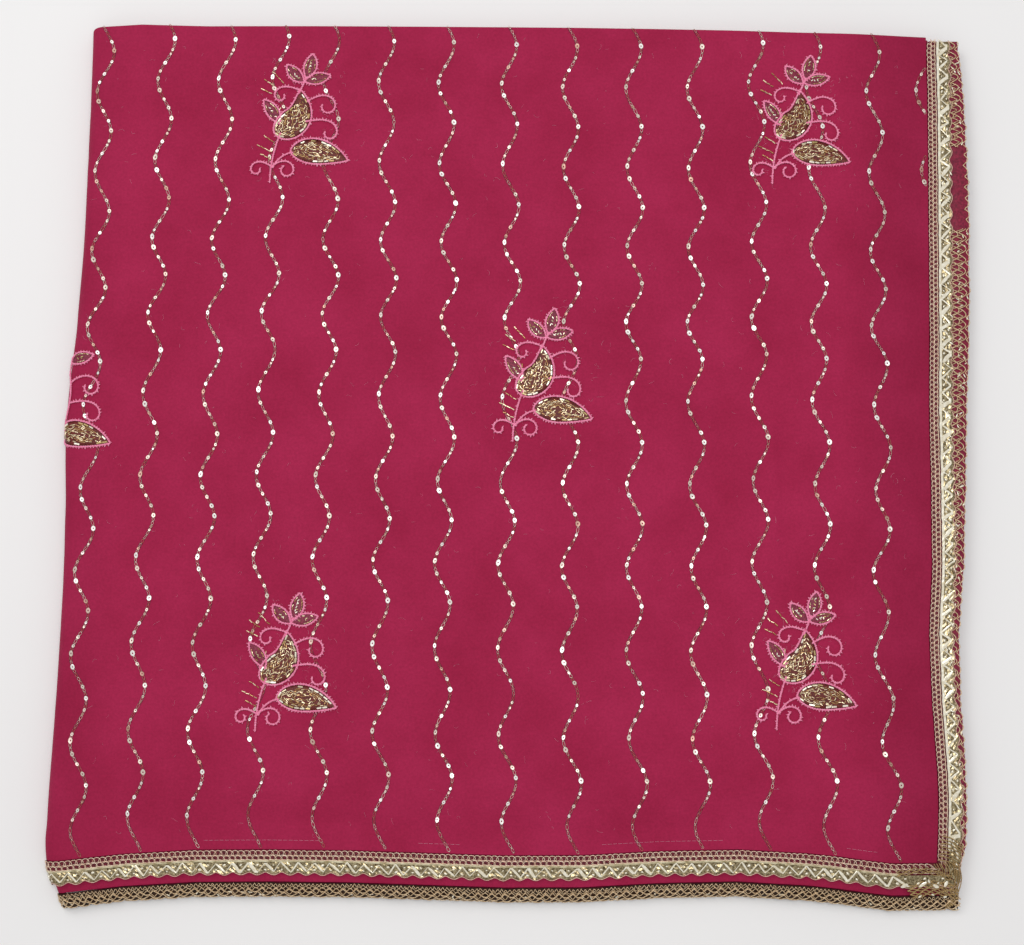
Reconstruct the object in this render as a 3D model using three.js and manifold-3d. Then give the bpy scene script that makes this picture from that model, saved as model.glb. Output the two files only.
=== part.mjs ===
// A folded embroidered saree, lying flat. Millimetres, +Z up.
// The cloth is folded in half across its width, so its two selvages meet along the near side (-Y)
// and the fold runs along the far side (+Y). It is then turned over on itself along its length, so
// the last turn is a round nose on the left (-X), and the end of the cloth lies on top at the right.
//
// The face cloth is one curved sheet, faceAt(a, b, lift): a runs along the saree, b across it, and
// lift is the height along the sheet's own normal. Every piece that lies on or under it uses it.
import * as THREE from "three";
import { mergeVertices } from "three/addons/utils/BufferGeometryUtils.js";
import Module from "manifold-3d";

// Driving dimensions
const PILE_HEIGHT = 19; // floor to the face cloth, in the middle
const CLOTH = 1.2; // wall of one layer of cloth
const SEAM = 0.3; // gap between neighbouring pieces
const ROLL = 1.5; // outer radius of the far fold, where face and back cloth join
const BACK_DEPTH = 2 * ROLL - CLOTH; // from the face cloth's outer side down to the back cloth's
const CORE_DEPTH = 2 * ROLL + SEAM; // from the face cloth's outer side down to the inner layers
const LACE_WIDTH = 16.5; // crochet rows, foil strip and scallops together
const SCALLOP_PITCH = 10.5; // along the lace
const SCALLOP_RISE = 1.8; // across it
const CORNER = 60; // length over which a band is drawn in towards its mitre
const END_DROP = 5.5; // how far the face sinks towards the lace at the right
const END_SLOPE = 75; // length of that slope
const HEM_DROP = 3.5; // the same at the near side
const HEM_SLOPE = 50;
const FAR_DROP = 2; // and at the far side
const FAR_SLOPE = 60;
const FACE_HEM_CURL = 2.5; // the face lace dips by this much over its own width
const NOSE_STEPS = 8; // steps round the nose
const NOSE_X = -292; // left of this the near and far edges run straight on round the nose
const PAIR_STEPS = 3; // steps round the edge of each pair of layers
const END_LACE_SINK = 3; // the back lace sinks by this much where nothing carries it
const MOTIF_HEIGHT = 1.4; // beaded embroidery over the cloth
const CORD_WIDTH = 2.2; // couched outline cord
const CORD_HEIGHT = 1.2;
const OVERWORK = 0.05; // each cord lies this much over the one before it

// The outline of the face cloth seen from above, without its lace
const LEFT_FOLD = [
  { y: -278, x: -291 },
  { y: -266, x: -296.5 },
  { y: -250, x: -300.6 },
  { y: -225, x: -300.6 },
  { y: -120, x: -295.8 },
  { y: -20, x: -294 },
  { y: 40, x: -294.6 },
  { y: 100, x: -289.5 },
  { y: 200, x: -285.2 },
  { y: 300, x: -284.3 },
];
const FAR_FOLD = [
  { x: -300, y: 301.5 },
  { x: -257, y: 305 },
  { x: -210, y: 303.6 },
  { x: -30, y: 303 },
  { x: 126, y: 301 },
  { x: 194, y: 299 },
  { x: 300, y: 297 },
];
const END_EDGE = [
  { y: -252, x: 273.5 },
  { y: -205, x: 275 },
  { y: -150, x: 272.6 },
  { y: -96, x: 272 },
  { y: -44, x: 275.4 },
  { y: 10, x: 274.6 },
  { y: 115, x: 277.4 },
  { y: 296, x: 280.4 },
];
const HEM_EDGE = [
  { x: -300, y: -251.5 },
  { x: -264, y: -247 },
  { x: -180, y: -243.2 },
  { x: -50, y: -245.2 },
  { x: 30, y: -247 },
  { x: 107, y: -243.8 },
  { x: 184, y: -245 },
  { x: 244, y: -252 },
  { x: 260, y: -252 },
  { x: 292, y: -252 },
];
// How far the back cloth's lace stands out past the face lace, along the right side
const BACK_END_OUT = [
  { y: -262, x: 3 },
  { y: -160, x: 3.4 },
  { y: -60, x: 5.5 },
  { y: 60, x: 9 },
  { y: 170, x: 8 },
  { y: 250, x: 5.5 },
  { y: 296, x: 1.5 },
];
// The back cloth past the face lace at the near side: a strip of cloth, then its lace hanging down
const BACK_HEM_PROFILE = [
  { out: 0, drop: 0 },
  { out: 4.6, drop: 0.8 },
  { out: 8, drop: 2.4 },
  { out: 11.5, drop: 4.8 },
  { out: 14.3, drop: 7.3 },
];
const BACK_HEM_HEIGHT = 10; // the height that the profile is for; it is less where the pile is lower
const BACK_HEM_SEAM = 4.6; // its lace starts this far out
const BACK_TAPER = 0.35; // it draws in at the left by this share of how far it is out
const BACK_TAPER_LENGTH = 40;
const LOWER_LACE_OUT = 15.3; // the lowest lace, on the floor, reaches this far past the face lace
const LOWER_LACE_WIDTH = 8; // what shows of it
// Broad soft swells of the face
const SWELLS = [
  { rise: 0.55, x: 230, y: 420, turn: 0.6 },
  { rise: 0.4, x: 310, y: 260, turn: 2.1 },
  { rise: 0.3, x: 190, y: 510, turn: 4.0 },
];
// One row for each pair of layers in the pile, outermost first: how far its edge stands out
const PAIRS = [
  { far: -0.4, near: 1.5, end: 1 },
  { far: -1.6, near: 0, end: -2.2 },
  { far: 0, near: 1.2, end: 0.4 },
];
const PAIR_BULGE = 2.6; // a fold's edge stands out past the groove beside it
const CORE_INSET = 3.2; // inner layers' grooves lie this far inside the far fold
const CORE_END_OUT = 9; // inner layers reach this far under the end lace
const CORE_NEAR_OUT = 9; // and this far under the hem lace, in the uppermost layer
const CORE_NEAR_LEAN = 15; // the lower layers stand out further, by up to this much
const CORE_NEAR_HEIGHT = 2.4; // height of the layer that stands out furthest
// Stations where the layers' grids have their lines
const X_STATIONS = [-250, -205, -155, -105, -55, -5, 45, 95, 145, 190, 210, 228, 244, 260];
const Y_STATIONS = [-232, -214, -194, -150, -105, -60, -10, 40, 90, 140, 190, 235, 258, 280];

// The motif, about its own centre, in millimetres: one row for each leaf, curl and stem
const LEAVES = [
  { name: "bud", fromX: -17, fromY: -8.5, toX: 0.2, toY: 20.9, half: 9.8, bend: -8, fat: 0.36 },
  { name: "leaf", fromX: -5.8, fromY: -21, toX: 32.2, toY: -27.5, half: 8.7, bend: 2.5, fat: 0.4 },
  { name: "sprig_left", fromX: 2.3, fromY: 26.6, toX: -9, toY: 38.5, half: 4, bend: 0.6, fat: 0.5 },
  { name: "sprig_top", fromX: 4, fromY: 29.2, toX: 8.2, toY: 45.9, half: 4.2, bend: -0.5, fat: 0.5 },
  { name: "sprig_right", fromX: 3, fromY: 27, toX: 19.9, toY: 30.9, half: 3.8, bend: 0, fat: 0.5 },
  { name: "side_leaf", fromX: -13.6, fromY: -2, toX: -24, toY: 14, half: 4.1, bend: -0.5, fat: 0.5 },
];
// A curl bends more and more towards its tip where tight is above 1
const CURLS = [
  { name: "stem", x: -13, y: -9.5, heading: 248, turn: 22, length: 34.5, tight: 1 },
  { name: "neck", x: -0.4, y: 19.2, heading: 68, turn: -4, length: 12, tight: 1 },
  { name: "stalk", x: -17.2, y: -31.5, heading: 65, turn: -55, length: 16, tight: 1 },
  { name: "curl_upper_left", x: 0.4, y: 20.6, heading: 159, turn: 338, length: 33, tight: 2.4 },
  { name: "curl_upper_right", x: 5.2, y: 13.1, heading: 31, turn: -325, length: 38.5, tight: 1.9 },
  { name: "curl_lower_right", x: 4.8, y: -0.8, heading: 9, turn: -300, length: 38.5, tight: 2.4 },
  { name: "curl_foot_left", x: -18, y: -32, heading: 147, turn: 343, length: 28.5, tight: 2.1 },
  { name: "curl_foot_right", x: -17.5, y: -31, heading: 36, turn: -359, length: 33.5, tight: 1.6 },
];
const CURL_STEP = 5;
const LEAF_STEP = 7.5;
const MOTIFS = [
  { name: "motif_far_left", x: -142, y: 237 },
  { name: "motif_far_right", x: 193, y: 236 },
  { name: "motif_centre", x: 20, y: 63 },
  { name: "motif_near_left", x: -146, y: -125 },
  { name: "motif_near_right", x: 190, y: -124 },
];
// One more goes round the nose, where only its right side is on the outside
const FOLD_MOTIF = {
  name: "motif_left_fold",
  x: -296,
  y: 47,
  shows: ["leaf", "neck", "sprig_right", "curl_upper_right", "curl_lower_right"],
};
const BUD_RIM = { name: "rim", x: -6.5, y: -23.5, heading: 55, turn: 65, length: 49, tight: 1.5 };
const FOLD_STEP = 3; // its steps are short, to follow the nose

const wasm = await Module();
wasm.setup();

const lerp = (from, to, share) => from + (to - from) * share;
const clamp01 = (t) => Math.min(1, Math.max(0, t));
const ease = (t) => clamp01(t) ** 2 * (3 - 2 * clamp01(t));

// A smooth curve through a table: value column as a function of the key column
function curveThrough(rows, key, value) {
  const slope = rows.map((row, i) => {
    const before = rows[Math.max(0, i - 1)];
    const after = rows[Math.min(rows.length - 1, i + 1)];
    return (after[value] - before[value]) / (after[key] - before[key]);
  });
  return (at) => {
    let i = rows.findIndex((row) => row[key] > at) - 1;
    if (i === -2) i = rows.length - 2;
    i = Math.max(0, i);
    const span = rows[i + 1][key] - rows[i][key];
    const t = clamp01((at - rows[i][key]) / span);
    const start = rows[i][value] + slope[i] * span * t;
    const end = rows[i + 1][value] - slope[i + 1] * span * (1 - t);
    return lerp(start, end, ease(t));
  };
}

// The same curve, straight from one station to the next, so that neighbouring edges agree
function straightBetween(stations, curve) {
  const first = stations[0];
  const last = stations.at(-1);
  return (at) => {
    const here = Math.min(last, Math.max(first, at));
    const i = Math.max(1, stations.findIndex((station) => station >= here));
    const share = (here - stations[i - 1]) / (stations[i] - stations[i - 1]);
    return lerp(curve(stations[i - 1]), curve(stations[i]), share);
  };
}

const acrossStations = [NOSE_X, ...X_STATIONS, HEM_EDGE.at(-1).x];
const alongStations = [END_EDGE[0].y, ...Y_STATIONS, END_EDGE.at(-1).y];
const leftFold = curveThrough(LEFT_FOLD, "y", "x");
const farFold = straightBetween(acrossStations, curveThrough(FAR_FOLD, "x", "y"));
const hemLine = straightBetween(acrossStations, curveThrough(HEM_EDGE, "x", "y"));
const endEdge = straightBetween(alongStations, curveThrough(END_EDGE, "y", "x"));
const backEndOut = straightBetween(alongStations, curveThrough(BACK_END_OUT, "y", "x"));
const backHemDrop = curveThrough(BACK_HEM_PROFILE, "out", "drop");
const foldLine = (a) => farFold(a) - ROLL;

// Height of the face above the floor
function faceHeight(x, y) {
  const toEnd = ease((x - (endEdge(y) + LACE_WIDTH - END_SLOPE)) / END_SLOPE);
  const toHem = ease((hemLine(x) + HEM_SLOPE - y) / HEM_SLOPE);
  const toFar = ease((y - (farFold(x) - FAR_SLOPE)) / FAR_SLOPE);
  const pastHem = clamp01((hemLine(x) - y) / LACE_WIDTH);
  let z = PILE_HEIGHT - END_DROP * toEnd - HEM_DROP * toHem * (1 - 0.4 * toEnd);
  z -= FAR_DROP * toFar + FACE_HEM_CURL * pastHem;
  for (const swell of SWELLS)
    z += swell.rise * Math.sin((x / swell.x + y / swell.y) * 2 * Math.PI + swell.turn);
  return z;
}

// The nose is half a circle between the floor and the face
const noseRadius = (y) => faceHeight(leftFold(y) + PILE_HEIGHT / 2, y) / 2;
const noseStart = (y) => leftFold(y) + noseRadius(y);
const noseEnd = (y) => noseStart(y) - Math.PI * noseRadius(y);

// A point of the face cloth's outer side, moved out by lift
function faceAt(a, b, lift = 0) {
  const y = Math.min(b, foldLine(a));
  const start = noseStart(y);
  const radius = noseRadius(y);
  let point;
  let normal;
  if (a >= start) {
    const step = 0.5;
    const slopeX = (faceHeight(a + step, y) - faceHeight(a - step, y)) / (2 * step);
    const slopeY = (faceHeight(a, y + step) - faceHeight(a, y - step)) / (2 * step);
    point = new THREE.Vector3(a, y, faceHeight(a, y));
    normal = new THREE.Vector3(-slopeX, -slopeY, 1).normalize();
  } else {
    const turn = Math.min(Math.PI, (start - a) / radius);
    const top = lerp(faceHeight(start, y), 2 * radius, ease(turn));
    const x = start - radius * Math.sin(turn);
    point = new THREE.Vector3(x, y, radius + (top - radius) * Math.cos(turn));
    normal = new THREE.Vector3(-Math.sin(turn), 0, Math.cos(turn));
  }
  if (b > y) {
    const turn = Math.min(Math.PI, (b - y) / ROLL);
    const away = new THREE.Vector3(0, 1, 0);
    point.addScaledVector(away, ROLL * Math.sin(turn));
    point.addScaledVector(normal, -ROLL * (1 - Math.cos(turn)));
    normal.multiplyScalar(Math.cos(turn)).addScaledVector(away, Math.sin(turn));
  }
  return point.addScaledVector(normal, lift);
}

// A point of the back cloth's outer side. Past the face lace it bends down towards the floor.
function backAt(a, b, lift = 0) {
  const bend = hemLine(a) - LACE_WIDTH;
  const out = bend - b;
  if (out <= 0) return faceAt(a, b, lift - BACK_DEPTH);
  const surface = faceAt(a, bend, -BACK_DEPTH);
  const point = faceAt(a, bend, lift - BACK_DEPTH);
  const start = noseStart(bend);
  const height = faceHeight(Math.max(a, start), bend) - BACK_DEPTH;
  const above = clamp01(surface.z / height) * Math.min(1, (height - CLOTH) / BACK_HEM_HEIGHT);
  const step = 0.4;
  const slope = (backHemDrop(out + step) - backHemDrop(out - step)) / (2 * step);
  point.x += BACK_TAPER * out * (1 - ease((a - start) / BACK_TAPER_LENGTH));
  point.y -= out + (lift * slope * above) / Math.hypot(1, slope);
  point.z -= backHemDrop(out) * above;
  return point;
}

// A mesh from points and triangles, with shared points merged and collapsed triangles dropped
function toGeometry(points, triangles) {
  const raw = new THREE.BufferGeometry();
  const numbers = points.flatMap((p) => [p.x, p.y, p.z]);
  raw.setAttribute("position", new THREE.Float32BufferAttribute(numbers, 3));
  raw.setIndex(triangles);
  const merged = mergeVertices(raw, 1e-3);
  const index = merged.index.array;
  const kept = [];
  for (let i = 0; i < index.length; i += 3) {
    const [p, q, r] = [index[i], index[i + 1], index[i + 2]];
    if (p !== q && q !== r && r !== p) kept.push(p, q, r);
  }
  merged.setIndex(kept);
  return merged;
}

// A list of triangles with a way to add four-sided faces to it
function faces() {
  const triangles = [];
  const quad = (p, q, r, s) => triangles.push(p, q, r, p, r, s);
  return { triangles, quad };
}

// A closed wall between two grids of points, outer[row][column] and inner[row][column]
function wall(outer, inner) {
  const rows = outer.length;
  const columns = outer[0].length;
  const out = (row, column) => row * columns + column;
  const inn = (row, column) => (rows + row) * columns + column;
  const { triangles, quad } = faces();
  for (let i = 0; i < rows - 1; i++)
    for (let j = 0; j < columns - 1; j++) {
      quad(out(i, j), out(i, j + 1), out(i + 1, j + 1), out(i + 1, j));
      quad(inn(i, j), inn(i + 1, j), inn(i + 1, j + 1), inn(i, j + 1));
    }
  const top = rows - 1;
  for (let j = 0; j < columns - 1; j++) {
    quad(inn(0, j), inn(0, j + 1), out(0, j + 1), out(0, j));
    quad(out(top, j), out(top, j + 1), inn(top, j + 1), inn(top, j));
  }
  const end = columns - 1;
  for (let i = 0; i < rows - 1; i++) {
    quad(out(i, 0), out(i + 1, 0), inn(i + 1, 0), inn(i, 0));
    quad(inn(i, end), inn(i + 1, end), out(i + 1, end), out(i, end));
  }
  return toGeometry([...outer.flat(), ...inner.flat()], triangles);
}

// A closed body through rings of points: along the way it runs, left, top, right
function sweep(rings) {
  const count = rings[0].length;
  const last = (rings.length - 1) * count;
  const { triangles, quad } = faces();
  for (let start = 0; start < last; start += count)
    for (let j = 0; j < count; j++) {
      const next = (j + 1) % count;
      quad(start + j, start + next, start + count + next, start + count + j);
    }
  for (let j = 1; j < count - 1; j++) {
    triangles.push(0, j + 1, j);
    triangles.push(last, last + j, last + j + 1);
  }
  return toGeometry(rings.flat(), triangles);
}

// Where a line across the saree, y = line(x), is crossed by the lines along it
function crossings(line, end) {
  const noseY = line(NOSE_X);
  const xs = [];
  for (let i = 0; i < NOSE_STEPS; i++)
    xs.push(lerp(noseEnd(noseY), noseStart(noseY), i / NOSE_STEPS));
  xs.push(noseStart(noseY), ...X_STATIONS, end);
  return xs.map((x) => ({ x, y: line(x) }));
}

// The face cloth: the flat top, the nose on the left and the roll along the far side
function faceCloth() {
  const rollSteps = 4;
  const lines = [(x) => hemLine(x) + SEAM / 2, ...Y_STATIONS.map((y) => () => y)];
  for (let i = 0; i <= rollSteps; i++)
    lines.push((x) => foldLine(x) + (i / rollSteps) * Math.PI * ROLL);
  const grid = (lift) =>
    lines.map((line) => {
      const end = endEdge(Math.min(line(endEdge(0)), END_EDGE.at(-1).y)) - SEAM / 2;
      return crossings(line, end).map((p) => faceAt(p.x, p.y, lift));
    });
  return wall(grid(0), grid(-CLOTH));
}

// The back cloth: under the face, and past its lace at the near side
function backCloth() {
  const lines = [
    (x) => hemLine(x) - LACE_WIDTH - BACK_HEM_SEAM + SEAM / 2,
    (x) => hemLine(x) - LACE_WIDTH,
    (x) => hemLine(x),
    ...Y_STATIONS.map((y) => () => y),
    (x) => foldLine(x) - SEAM,
  ];
  const grid = (lift) =>
    lines.map((line) => {
      const y = line(endEdge(0));
      const end = endEdge(y) + backEndOut(y) - SEAM / 2;
      return crossings(line, end).map((p) => backAt(p.x, p.y, lift));
    });
  return wall(grid(0), grid(-CLOTH));
}

// How far a fold's edge stands out, share from 0 at the pile's skin to 1 at its middle layer
function lobe(share, side) {
  const at = share * PAIRS.length;
  const pair = Math.min(PAIRS.length - 1, Math.floor(at));
  const round = Math.sqrt(Math.max(0, 1 - (2 * (at - pair) - 1) ** 2));
  return round * (PAIR_BULGE + PAIRS[pair][side]);
}

// The inner layers' section at y: from the right end along the top, round the nose and back.
// Each point also has the place in the middle layer that it closes in on at the near and far sides.
function layersSection(y) {
  const start = noseStart(y);
  const radius = noseRadius(y);
  const inner = radius - CORE_DEPTH - 3 * SEAM;
  const under = start + 4 * SEAM;
  const end = endEdge(y) + CORE_END_OUT;
  const flat = { near: CORE_NEAR_HEIGHT, lean: 1 };
  const nose = { near: radius, lean: 0.3, midX: start, midZ: radius };
  const points = [];
  for (const x of [end, ...X_STATIONS.toReversed()]) {
    const z = faceHeight(x, y) - CORE_DEPTH;
    points.push({ x, z, midX: x, midZ: z / 2, ...flat });
  }
  for (let i = 0; i <= NOSE_STEPS; i++) {
    const turn = (i / NOSE_STEPS) * Math.PI;
    const z = i === 0 ? faceHeight(start, y) - CORE_DEPTH : radius + inner * Math.cos(turn);
    points.push({ x: start - inner * Math.sin(turn), z, ...nose });
  }
  points.push({ x: under, z: CORE_DEPTH + SEAM, ...nose });
  points.push({ x: under, z: 0, ...nose });
  for (const x of [...X_STATIONS, end])
    points.push({ x, z: 0, midX: x, midZ: (faceHeight(x, y) - CORE_DEPTH) / 2, ...flat });
  return points;
}

// The inner layers: one rounded solid whose edges are rounded for each pair of layers
function innerLayers() {
  const levels = PAIRS.length * PAIR_STEPS;
  const lines = [
    (x) => hemLine(x) - CORE_NEAR_OUT,
    ...Y_STATIONS.map((y) => () => y),
    (x) => foldLine(x) - CORE_INSET,
  ];
  const last = lines.length - 1;
  const count = layersSection(0).length;
  const points = [];
  const place = (row, column, level) => {
    const share = level / levels;
    const near = row === 0;
    const guess = layersSection(lines[row](0))[column];
    let y = lines[row](lerp(guess.x, guess.midX, share));
    if (near) y -= lobe(share, "near") + CORE_NEAR_LEAN * guess.lean * share ** 0.75;
    if (row === last) y += lobe(share, "far");
    const p = layersSection(y)[column];
    const isEnd = column === 0 || column === count - 1;
    const x = lerp(p.x, p.midX, share) + (isEnd ? lobe(share, "end") : 0);
    const z = lerp(p.z, near ? p.near : p.midZ, share);
    const roof = near ? backAt(x, y, -CLOTH).z - SEAM : z;
    return points.push(new THREE.Vector3(x, y, p.midX === x ? Math.min(z, roof) : z)) - 1;
  };
  const ring = (row, level) => Array.from({ length: count }, (_, column) => place(row, column, level));
  const { triangles, quad } = faces();
  const band = (from, to) => {
    for (let c = 0; c < count - 1; c++) quad(to[c], to[c + 1], from[c + 1], from[c]);
  };
  const skin = lines.map((_, row) => ring(row, 0));
  for (let row = 0; row < last; row++) band(skin[row], skin[row + 1]);
  const nearCap = [skin[0]];
  const farCap = [skin[last]];
  for (let level = 1; level <= levels; level++) {
    nearCap.push(ring(0, level));
    farCap.push(ring(last, level));
    band(nearCap[level], nearCap[level - 1]);
    band(farCap[level - 1], farCap[level]);
  }
  // The right end, a line of points for each row: down from the top to the middle, and to the floor
  const endPoint = (row, column, level) => {
    if (row === 0) return nearCap[level][column];
    if (row === last) return farCap[level][column];
    return level === 0 ? skin[row][column] : place(row, column, level);
  };
  const endLines = lines.map((_, row) => {
    const line = [];
    for (let level = 0; level <= levels; level++) line.push(endPoint(row, 0, level));
    for (let level = levels - 1; level >= 0; level--) line.push(endPoint(row, count - 1, level));
    return line;
  });
  for (let row = 0; row < last; row++)
    for (let k = 0; k < 2 * levels; k++)
      quad(endLines[row][k], endLines[row][k + 1], endLines[row + 1][k + 1], endLines[row + 1][k]);
  return toGeometry(points, triangles);
}

// A lace band with a plain inner edge and a scalloped outer one. place(along, out, lift) gives a
// point of it, along from 0 to length and out from 0 to width. The inner edge has one point for
// each scallop, and as many as the outer one up to bent, where the band goes round the nose.
function laceBand(length, width, bent, place) {
  const scallops = Math.round(length / SCALLOP_PITCH);
  const pitch = length / scallops;
  const outer = [];
  for (let i = 0; i < scallops; i++) {
    outer.push({ along: i * pitch, out: width - SCALLOP_RISE });
    outer.push({ along: (i + 0.3) * pitch, out: width });
    outer.push({ along: (i + 0.7) * pitch, out: width });
  }
  outer.push({ along: length, out: width - SCALLOP_RISE });
  const inner = [];
  const innerOf = outer.map((p, i) => {
    if (i % 3 === 0 || p.along < bent) inner.push({ along: p.along, out: 0 });
    return inner.length - 1;
  });
  const at = (line, lift) => line.map((p) => place(p.along, p.out, lift));
  const points = [...at(outer, 0), ...at(outer, -CLOTH), ...at(inner, 0), ...at(inner, -CLOTH)];
  const under = outer.length;
  const innerTop = 2 * outer.length;
  const innerUnder = innerTop + inner.length;
  const { triangles, quad } = faces();
  for (let i = 0; i < outer.length - 1; i++) {
    const [here, next] = [innerOf[i], innerOf[i + 1]];
    triangles.push(innerTop + here, i, i + 1);
    triangles.push(innerUnder + here, under + i + 1, under + i);
    quad(i, under + i, under + i + 1, i + 1);
    if (next === here) continue;
    triangles.push(innerTop + here, i + 1, innerTop + next);
    triangles.push(innerUnder + here, innerUnder + next, under + i + 1);
    quad(innerTop + here, innerTop + next, innerUnder + next, innerUnder + here);
  }
  const [outerEnd, innerEnd] = [outer.length - 1, inner.length - 1];
  quad(0, innerTop, innerUnder, under);
  quad(outerEnd, under + outerEnd, innerUnder + innerEnd, innerTop + innerEnd);
  return toGeometry(points, triangles);
}

// Lace along the face cloth's hem, from the floor round the nose to the mitre at the right
function faceHemLace() {
  const from = lerp(noseEnd(hemLine(NOSE_X)), NOSE_X, 0.05);
  const length = endEdge(END_EDGE[0].y) - SEAM - from;
  return laceBand(length, LACE_WIDTH, NOSE_X - from, (along, out, lift) => {
    const a = from + along + out * ease(1 - (length - along) / CORNER);
    return faceAt(a, hemLine(a) - SEAM / 2 - out, lift);
  });
}

// Lace along the face cloth's end, from the mitre to the far fold
function faceEndLace() {
  const from = hemLine(endEdge(END_EDGE[0].y)) + SEAM;
  const length = foldLine(END_EDGE.at(-1).x) - from;
  return laceBand(length, LACE_WIDTH, 0, (along, out, lift) => {
    const b = from + along - out * ease(1 - along / CORNER);
    return faceAt(endEdge(b) + SEAM / 2 + out, b, lift);
  });
}

// Lace along the back cloth's hem, hanging down over the near side of the pile
function backHemLace() {
  const from = lerp(noseEnd(hemLine(NOSE_X) - LACE_WIDTH), NOSE_X, 0.1);
  const length = endEdge(END_EDGE[0].y) + LACE_WIDTH - from;
  const reach = BACK_HEM_PROFILE.at(-1).out - BACK_HEM_SEAM;
  return laceBand(length, LACE_WIDTH, NOSE_X - from, (along, out, lift) => {
    const a = from + along;
    const past = BACK_HEM_SEAM + SEAM / 2 + (out / LACE_WIDTH) * reach;
    return backAt(a, hemLine(a) - LACE_WIDTH - past, lift);
  });
}

// Lace along the back cloth's end, showing past the face lace and sinking where nothing carries it
function backEndLace() {
  const from = hemLine(END_EDGE.at(-1).x) - LACE_WIDTH - BACK_HEM_SEAM + 4 * SEAM;
  const length = foldLine(END_EDGE.at(-1).x) - 1 - from;
  return laceBand(length, LACE_WIDTH, 0, (along, out, lift) => {
    const b = from + along;
    const past = backEndOut(b);
    const sink = END_LACE_SINK * ease((out - LACE_WIDTH + past) / LACE_WIDTH);
    return faceAt(endEdge(b) + past + SEAM / 2 + out, b, lift - BACK_DEPTH - sink);
  });
}

// The lowest lace, on the floor, of the turn under all the others
function lowerHemLace() {
  const from = -278;
  const length = endEdge(END_EDGE[0].y) + LOWER_LACE_WIDTH - from;
  return laceBand(length, LOWER_LACE_WIDTH, 0, (along, out, lift) => {
    const y = hemLine(from + along) - LACE_WIDTH - LOWER_LACE_OUT + LOWER_LACE_WIDTH - out;
    return new THREE.Vector3(from + along, y, CLOTH + lift);
  });
}

// A padded leaf on the cloth, along a bowed spine and widest at its fat share
function leafPad(place, leaf, step) {
  const dx = leaf.toX - leaf.fromX;
  const dy = leaf.toY - leaf.fromY;
  const long = Math.hypot(dx, dy);
  const steps = Math.ceil(long / step);
  const skew = Math.log(0.5) / Math.log(leaf.fat);
  const rings = [];
  for (let i = 0; i <= steps; i++) {
    const t = i / steps;
    const half = Math.max(0.4, leaf.half * Math.sin(Math.PI * t ** skew) ** 0.75);
    const bow = leaf.bend * Math.sin(Math.PI * t);
    const bowSlope = leaf.bend * Math.PI * Math.cos(Math.PI * t);
    const x = leaf.fromX + dx * t - (dy / long) * bow;
    const y = leaf.fromY + dy * t + (dx / long) * bow;
    const heading = Math.atan2(dy, dx) + Math.atan2(bowSlope, long);
    const across = (share, height) =>
      place(x + Math.sin(heading) * share * half, y - Math.cos(heading) * share * half, height);
    const crown = MOTIF_HEIGHT * Math.min(1, 0.6 + half / 10);
    rings.push([
      across(-1, SEAM),
      across(-0.75, SEAM + 0.8 * crown),
      across(0, SEAM + crown),
      across(0.75, SEAM + 0.8 * crown),
      across(1, SEAM),
    ]);
  }
  return sweep(rings);
}

// A couched cord that curls more and more towards its tip
function curlCord(place, curl, step) {
  const fine = 12;
  const steps = Math.ceil(curl.length / step);
  const stride = curl.length / (steps * fine);
  const half = CORD_WIDTH / 2;
  const rings = [];
  let x = curl.x;
  let y = curl.y;
  for (let i = 0; i <= steps * fine; i++) {
    const t = i / (steps * fine);
    const heading = THREE.MathUtils.degToRad(curl.heading + curl.turn * t ** curl.tight);
    const across = (side, height) =>
      place(x + Math.sin(heading) * side * half, y - Math.cos(heading) * side * half, height);
    if (i % fine === 0)
      rings.push([across(-1, SEAM), across(0, SEAM + CORD_HEIGHT), across(1, SEAM)]);
    x += Math.cos(heading) * stride;
    y += Math.sin(heading) * stride;
  }
  return sweep(rings);
}

function toManifold(geometry) {
  const mesh = new wasm.Mesh({
    numProp: 3,
    vertProperties: geometry.attributes.position.array,
    triVerts: new Uint32Array(geometry.index.array),
  });
  return new wasm.Manifold(mesh);
}

function fromManifold(solid) {
  const mesh = solid.getMesh();
  const geometry = new THREE.BufferGeometry();
  geometry.setAttribute("position", new THREE.BufferAttribute(mesh.vertProperties, 3));
  geometry.setIndex(new THREE.BufferAttribute(mesh.triVerts, 1));
  return geometry;
}

// One embroidered motif in one piece, each cord worked a little over the one before it
function motif(row, leaves, curls, leafStep, curlStep) {
  const over = (layer) => (x, y, lift) => faceAt(row.x + x, row.y + y, lift + layer * OVERWORK);
  const pieces = [
    ...leaves.map((leaf) => leafPad(over(0), leaf, leafStep)),
    ...curls.map((curl, i) => curlCord(over(i + 1), curl, curlStep)),
  ];
  return fromManifold(pieces.map(toManifold).reduce((whole, piece) => whole.add(piece)));
}

function foldMotif() {
  const shown = (rows) => rows.filter((row) => FOLD_MOTIF.shows.includes(row.name));
  return motif(FOLD_MOTIF, shown(LEAVES), [BUD_RIM, ...shown(CURLS)], FOLD_STEP, FOLD_STEP);
}

const material = (color, roughness, metalness = 0) =>
  new THREE.MeshStandardMaterial({ color, roughness, metalness, side: THREE.DoubleSide });
const georgette = material("#a2274a", 0.75);
const georgetteInside = material("#932240", 0.8);
const goldLace = material("#b08d57", 0.4, 0.7);
const pinkThread = material("#de5c8c", 0.7);

const saree = new THREE.Group();
const content = new THREE.Group();
saree.add(content);
function piece(name, geometry, finish) {
  const mesh = new THREE.Mesh(geometry, finish);
  mesh.name = name;
  content.add(mesh);
}

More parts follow.
